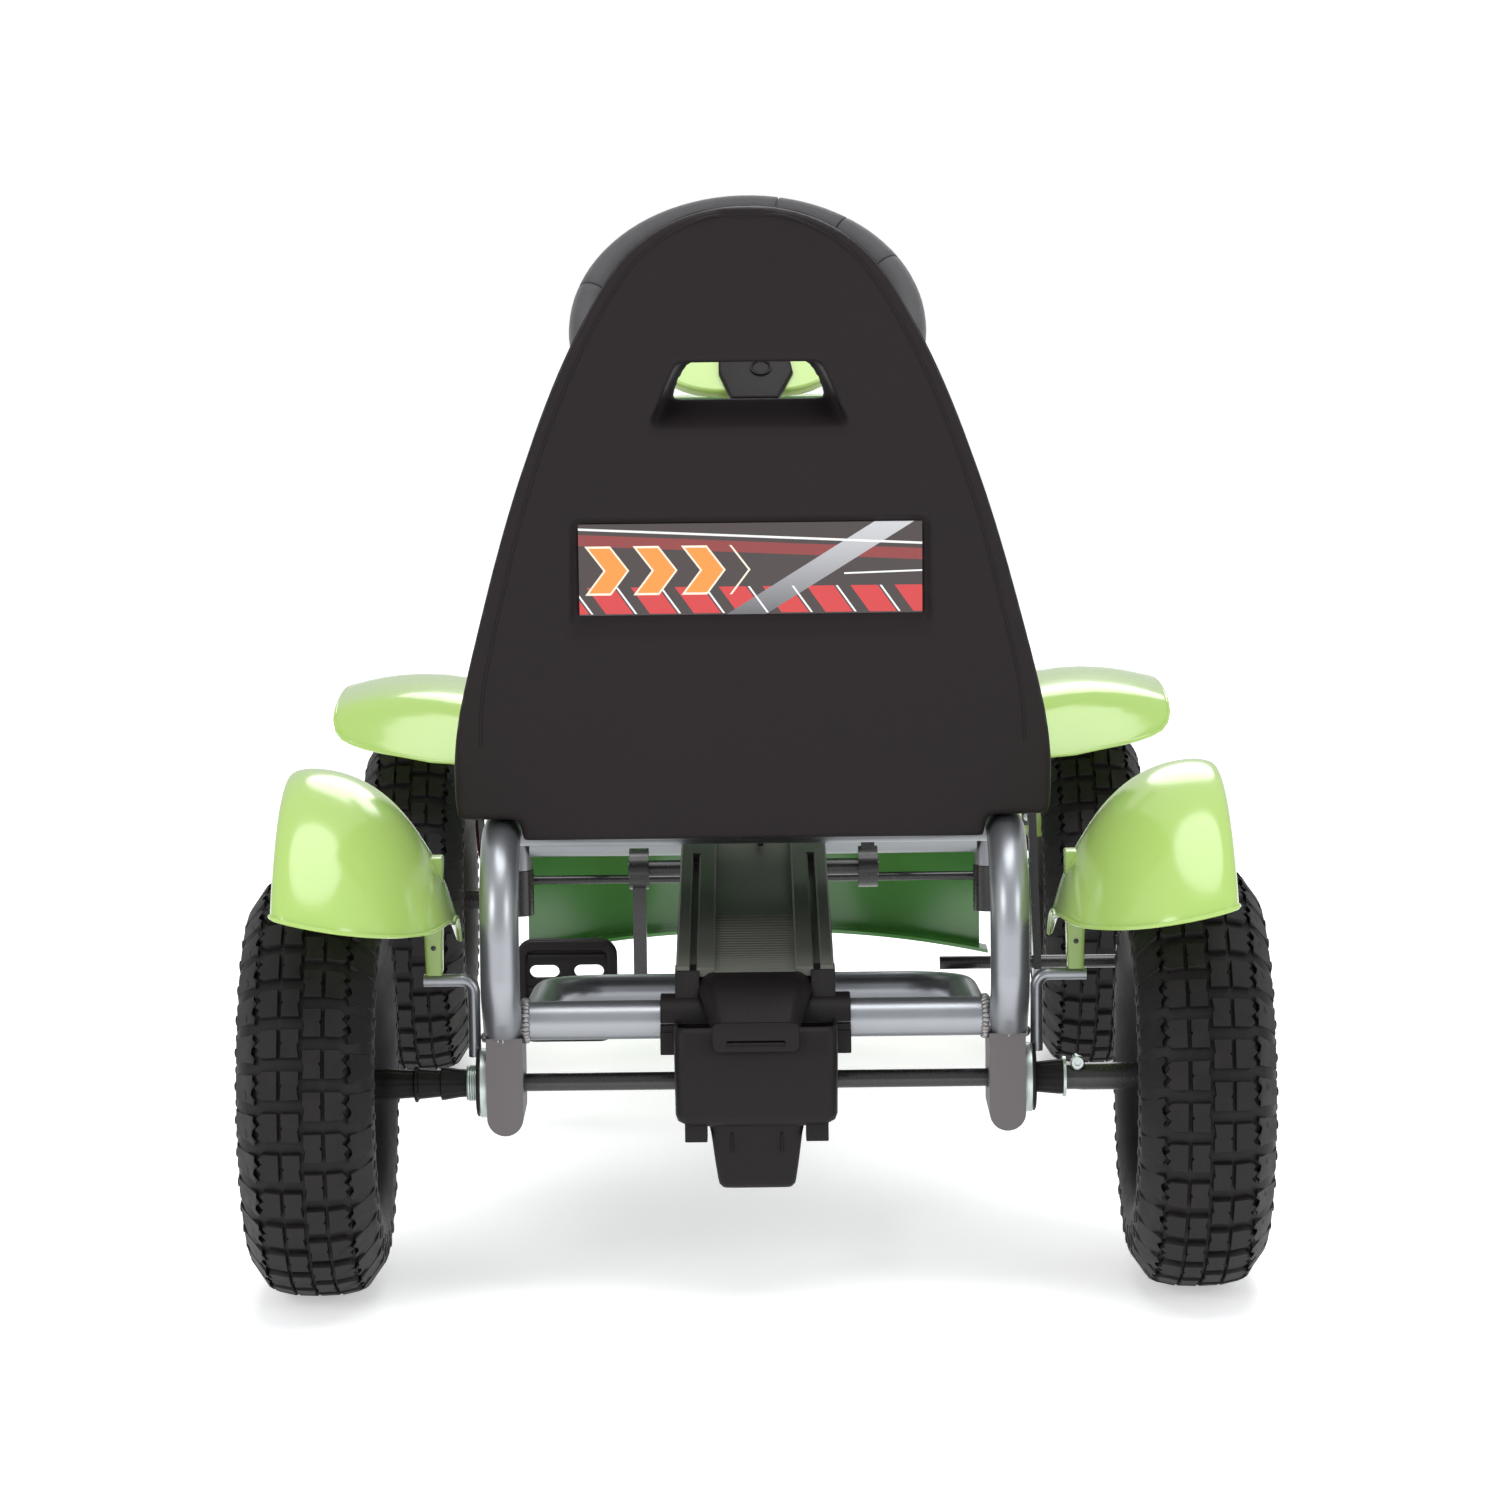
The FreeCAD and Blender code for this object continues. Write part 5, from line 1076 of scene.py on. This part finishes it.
# %% Front fenders
# The leaf in side view as (y, z), and in plan as (x, rear edge, front edge), from its middle.
LEAF_SIDE = ((-150, -52), (-128, -32), (-108, -14), (-88, -5), (-50, -1.0), (0, 0), (55, -2.5), (95, -8),
             (125, -23), (150, -46))
LEAF_PLAN = ((-65, -128, 60), (-61, -137, 80), (-55, -143, 94), (-40, -149, 118), (-20, -150, 138),
             (0, -147, 146), (20, -142.5, 142), (35, -137.5, 128), (48, -131, 108), (57, -124.5, 84),
             (62.5, -117, 64), (65, -106, 40))
LEAF_X, LEAF_Y, LEAF_Z = 296, 385, 351.5
LEAF_CROWN, LEAF_ROWS = 220, 30
LEAF_LINE = [tuple(point) for point in smooth_line(LEAF_SIDE)]
FENDER_ROD = ((0.221, 0.385, 0.164), (0.236, 0.345, 0.19), (0.24, 0.328, 0.23), (0.241, 0.325, 0.3),
              (0.252, 0.325, 0.33), (0.296, 0.325, 0.3415))


def leaf_point(side, x, y):
    fall = LEAF_CROWN - math.sqrt(LEAF_CROWN ** 2 - x * x)
    return Vector((side * (LEAF_X + x), LEAF_Y + y, LEAF_Z + read_off(LEAF_LINE, y) - fall))


for name, side in SIDES:
    body = name + "_knuckle"
    rows = [[leaf_point(side, x, rear + (front - rear) * n / LEAF_ROWS) for x, rear, front in LEAF_PLAN]
            for n in range(LEAF_ROWS + 1)]
    walled("front_fender_leaf_" + name, rows, 2.6, green, "front_fender_" + name,
           body, flip=side < 0)
    rim = [row[0] for row in rows[::-1]] + rows[0][1:] + [row[-1] for row in rows[1:]] + rows[-1][-2:0:-1]
    bm = bmesh.new()
    sweep(bm, [(point - Vector((0, 0, 1.2))) * MM for point in rim], round_section(0.0016, 8),
          up=(0.1, 0.2, 1), closed=True)
    finish_piece("front_fender_bead_" + name, bm, green, body, "green_plastic")
    bm = bmesh.new()
    rod = smooth_line([(side * x, y, z) for x, y, z in FENDER_ROD])
    sweep(bm, rod, round_section(0.0042, 10), up=(0, 1, 0))
    finish_piece("front_fender_rod_" + name, bm, black_paint, body, "black_plastic")

bracket = [(0.252, 0.274), (0.292, 0.27), (0.304, 0.262), (0.304, 0.238), (0.286, 0.243), (0.272, 0.24),
           (0.262, 0.229), (0.254, 0.214), (0.243, 0.213), (0.239, 0.222), (0.236, 0.24), (0.241, 0.256)]
window = rounded_rectangle(0.015, 0.013, 0.003, 4, (0.2705, 0.2535))
plate("front_fender_bracket", [bracket, window], 0.009, 0.002, Matrix.Translation((0, 0.33, 0)) @ UPRIGHT,
      green, "right_knuckle", "green_plastic")
stud("front_fender_boss", [(-0.01, 0.0), (-0.01, 0.0075), (0.01, 0.0085), (0.011, 0.006), (0.011, 0.0)],
     (0.2475, 0.327, 0.247), (0.45, -0.75, -0.45), 28, green, "right_knuckle", "green_plastic")
stud("front_fender_bolt", [(0.0, 0.0), (0.0, 0.004), (0.003, 0.0034), (0.0042, 0.0)],
     (0.241, 0.3258, 0.23), (0, -1, 0), 20, zinc, "right_knuckle", "zinc")
print("front fenders: leaves, rods and the right bracket")

# %% [markdown]
# The setting is a studio: a white paper floor, one broad light above, softer ones in front and
# behind, and a long lens a little above the seat, so that uprights stay almost upright.


# %% Studio and camera
# Each lamp is (name, place, aim, size, power, colour).
LAMPS = (("overhead", (0.2, -0.6, 3.2), (0, -0.1, 0.2), 2.6, 62, (1, 1, 1)),
         ("front left", (-2.6, -3.2, 1.9), (0, -0.3, 0.35), 1.6, 36, (1, 0.99, 0.97)),
         ("front right", (2.8, -2.8, 1.5), (0, -0.3, 0.35), 1.6, 26, (0.97, 0.98, 1)),
         ("behind", (0.4, 3.4, 2.4), (0, 0.2, 0.4), 2.2, 34, (1, 1, 1)))


def studio():
    """White to the camera and a soft grey to everything else, with four round lamps."""
    world = bpy.data.worlds.new("studio")
    bpy.context.scene.world = world
    world.use_nodes = True
    tree = world.node_tree
    paths = tree.nodes.new("ShaderNodeLightPath")
    seen = tree.nodes.new("ShaderNodeMix")
    seen.data_type = "RGBA"
    seen.inputs[6].default_value = (0.62, 0.63, 0.65, 1)
    seen.inputs[7].default_value = (1, 1, 1, 1)
    tree.links.new(paths.outputs["Is Camera Ray"], seen.inputs[0])
    tree.links.new(seen.outputs[2], tree.nodes["Background"].inputs["Color"])
    bpy.context.scene.view_settings.view_transform = "Standard"
    for name, spot, aim, size, power, shade in LAMPS:
        light = bpy.data.lights.new(name, "AREA")
        light.shape, light.size, light.energy, light.color = "DISK", size, power, shade
        lamp = bpy.data.objects.new(name, light)
        lamp.location = spot
        lamp.rotation_euler = (Vector(aim) - Vector(spot)).to_track_quat("-Z", "Y").to_euler()
        bpy.context.collection.objects.link(lamp)


def floor_paper():
    paper = Shader("studio_paper", Roughness=0.9, Specular_IOR_Level=0.1, Emission_Strength=0.45,
                   Emission_Color=(1, 1, 1))
    paper.feed("Base Color", paper.mix(paper.noise(0.8, 2), (0.91, 0.91, 0.91), (0.93, 0.93, 0.93)))
    paper.bump(paper.noise(300, 2), 0.00005, 0.1)
    bm = bmesh.new()
    loft(bm, [[(x, y, 0) for x in (-9, 0, 9)] for y in (-6, 0, 6, 14)], capped=False, around=False)
    mesh_object("studio_floor", bm, paper.material, closed=False)


CAMERA_PLACE = (-0.0018, -3.805, 0.837)
DOWNWARD, LEAN = math.radians(7.52), math.radians(-0.65)


def camera():
    data = bpy.data.cameras.new("studio camera")
    data.lens, data.sensor_width = 114.05, 36
    made = bpy.data.objects.new("studio camera", data)
    made.matrix_world = (Matrix.Translation(CAMERA_PLACE) @ UPRIGHT
                         @ Matrix.Rotation(-DOWNWARD, 4, "X") @ Matrix.Rotation(LEAN, 4, "Z"))
    bpy.context.collection.objects.link(made)
    bpy.context.scene.camera = made


studio()
floor_paper()
camera()
print("studio ready")
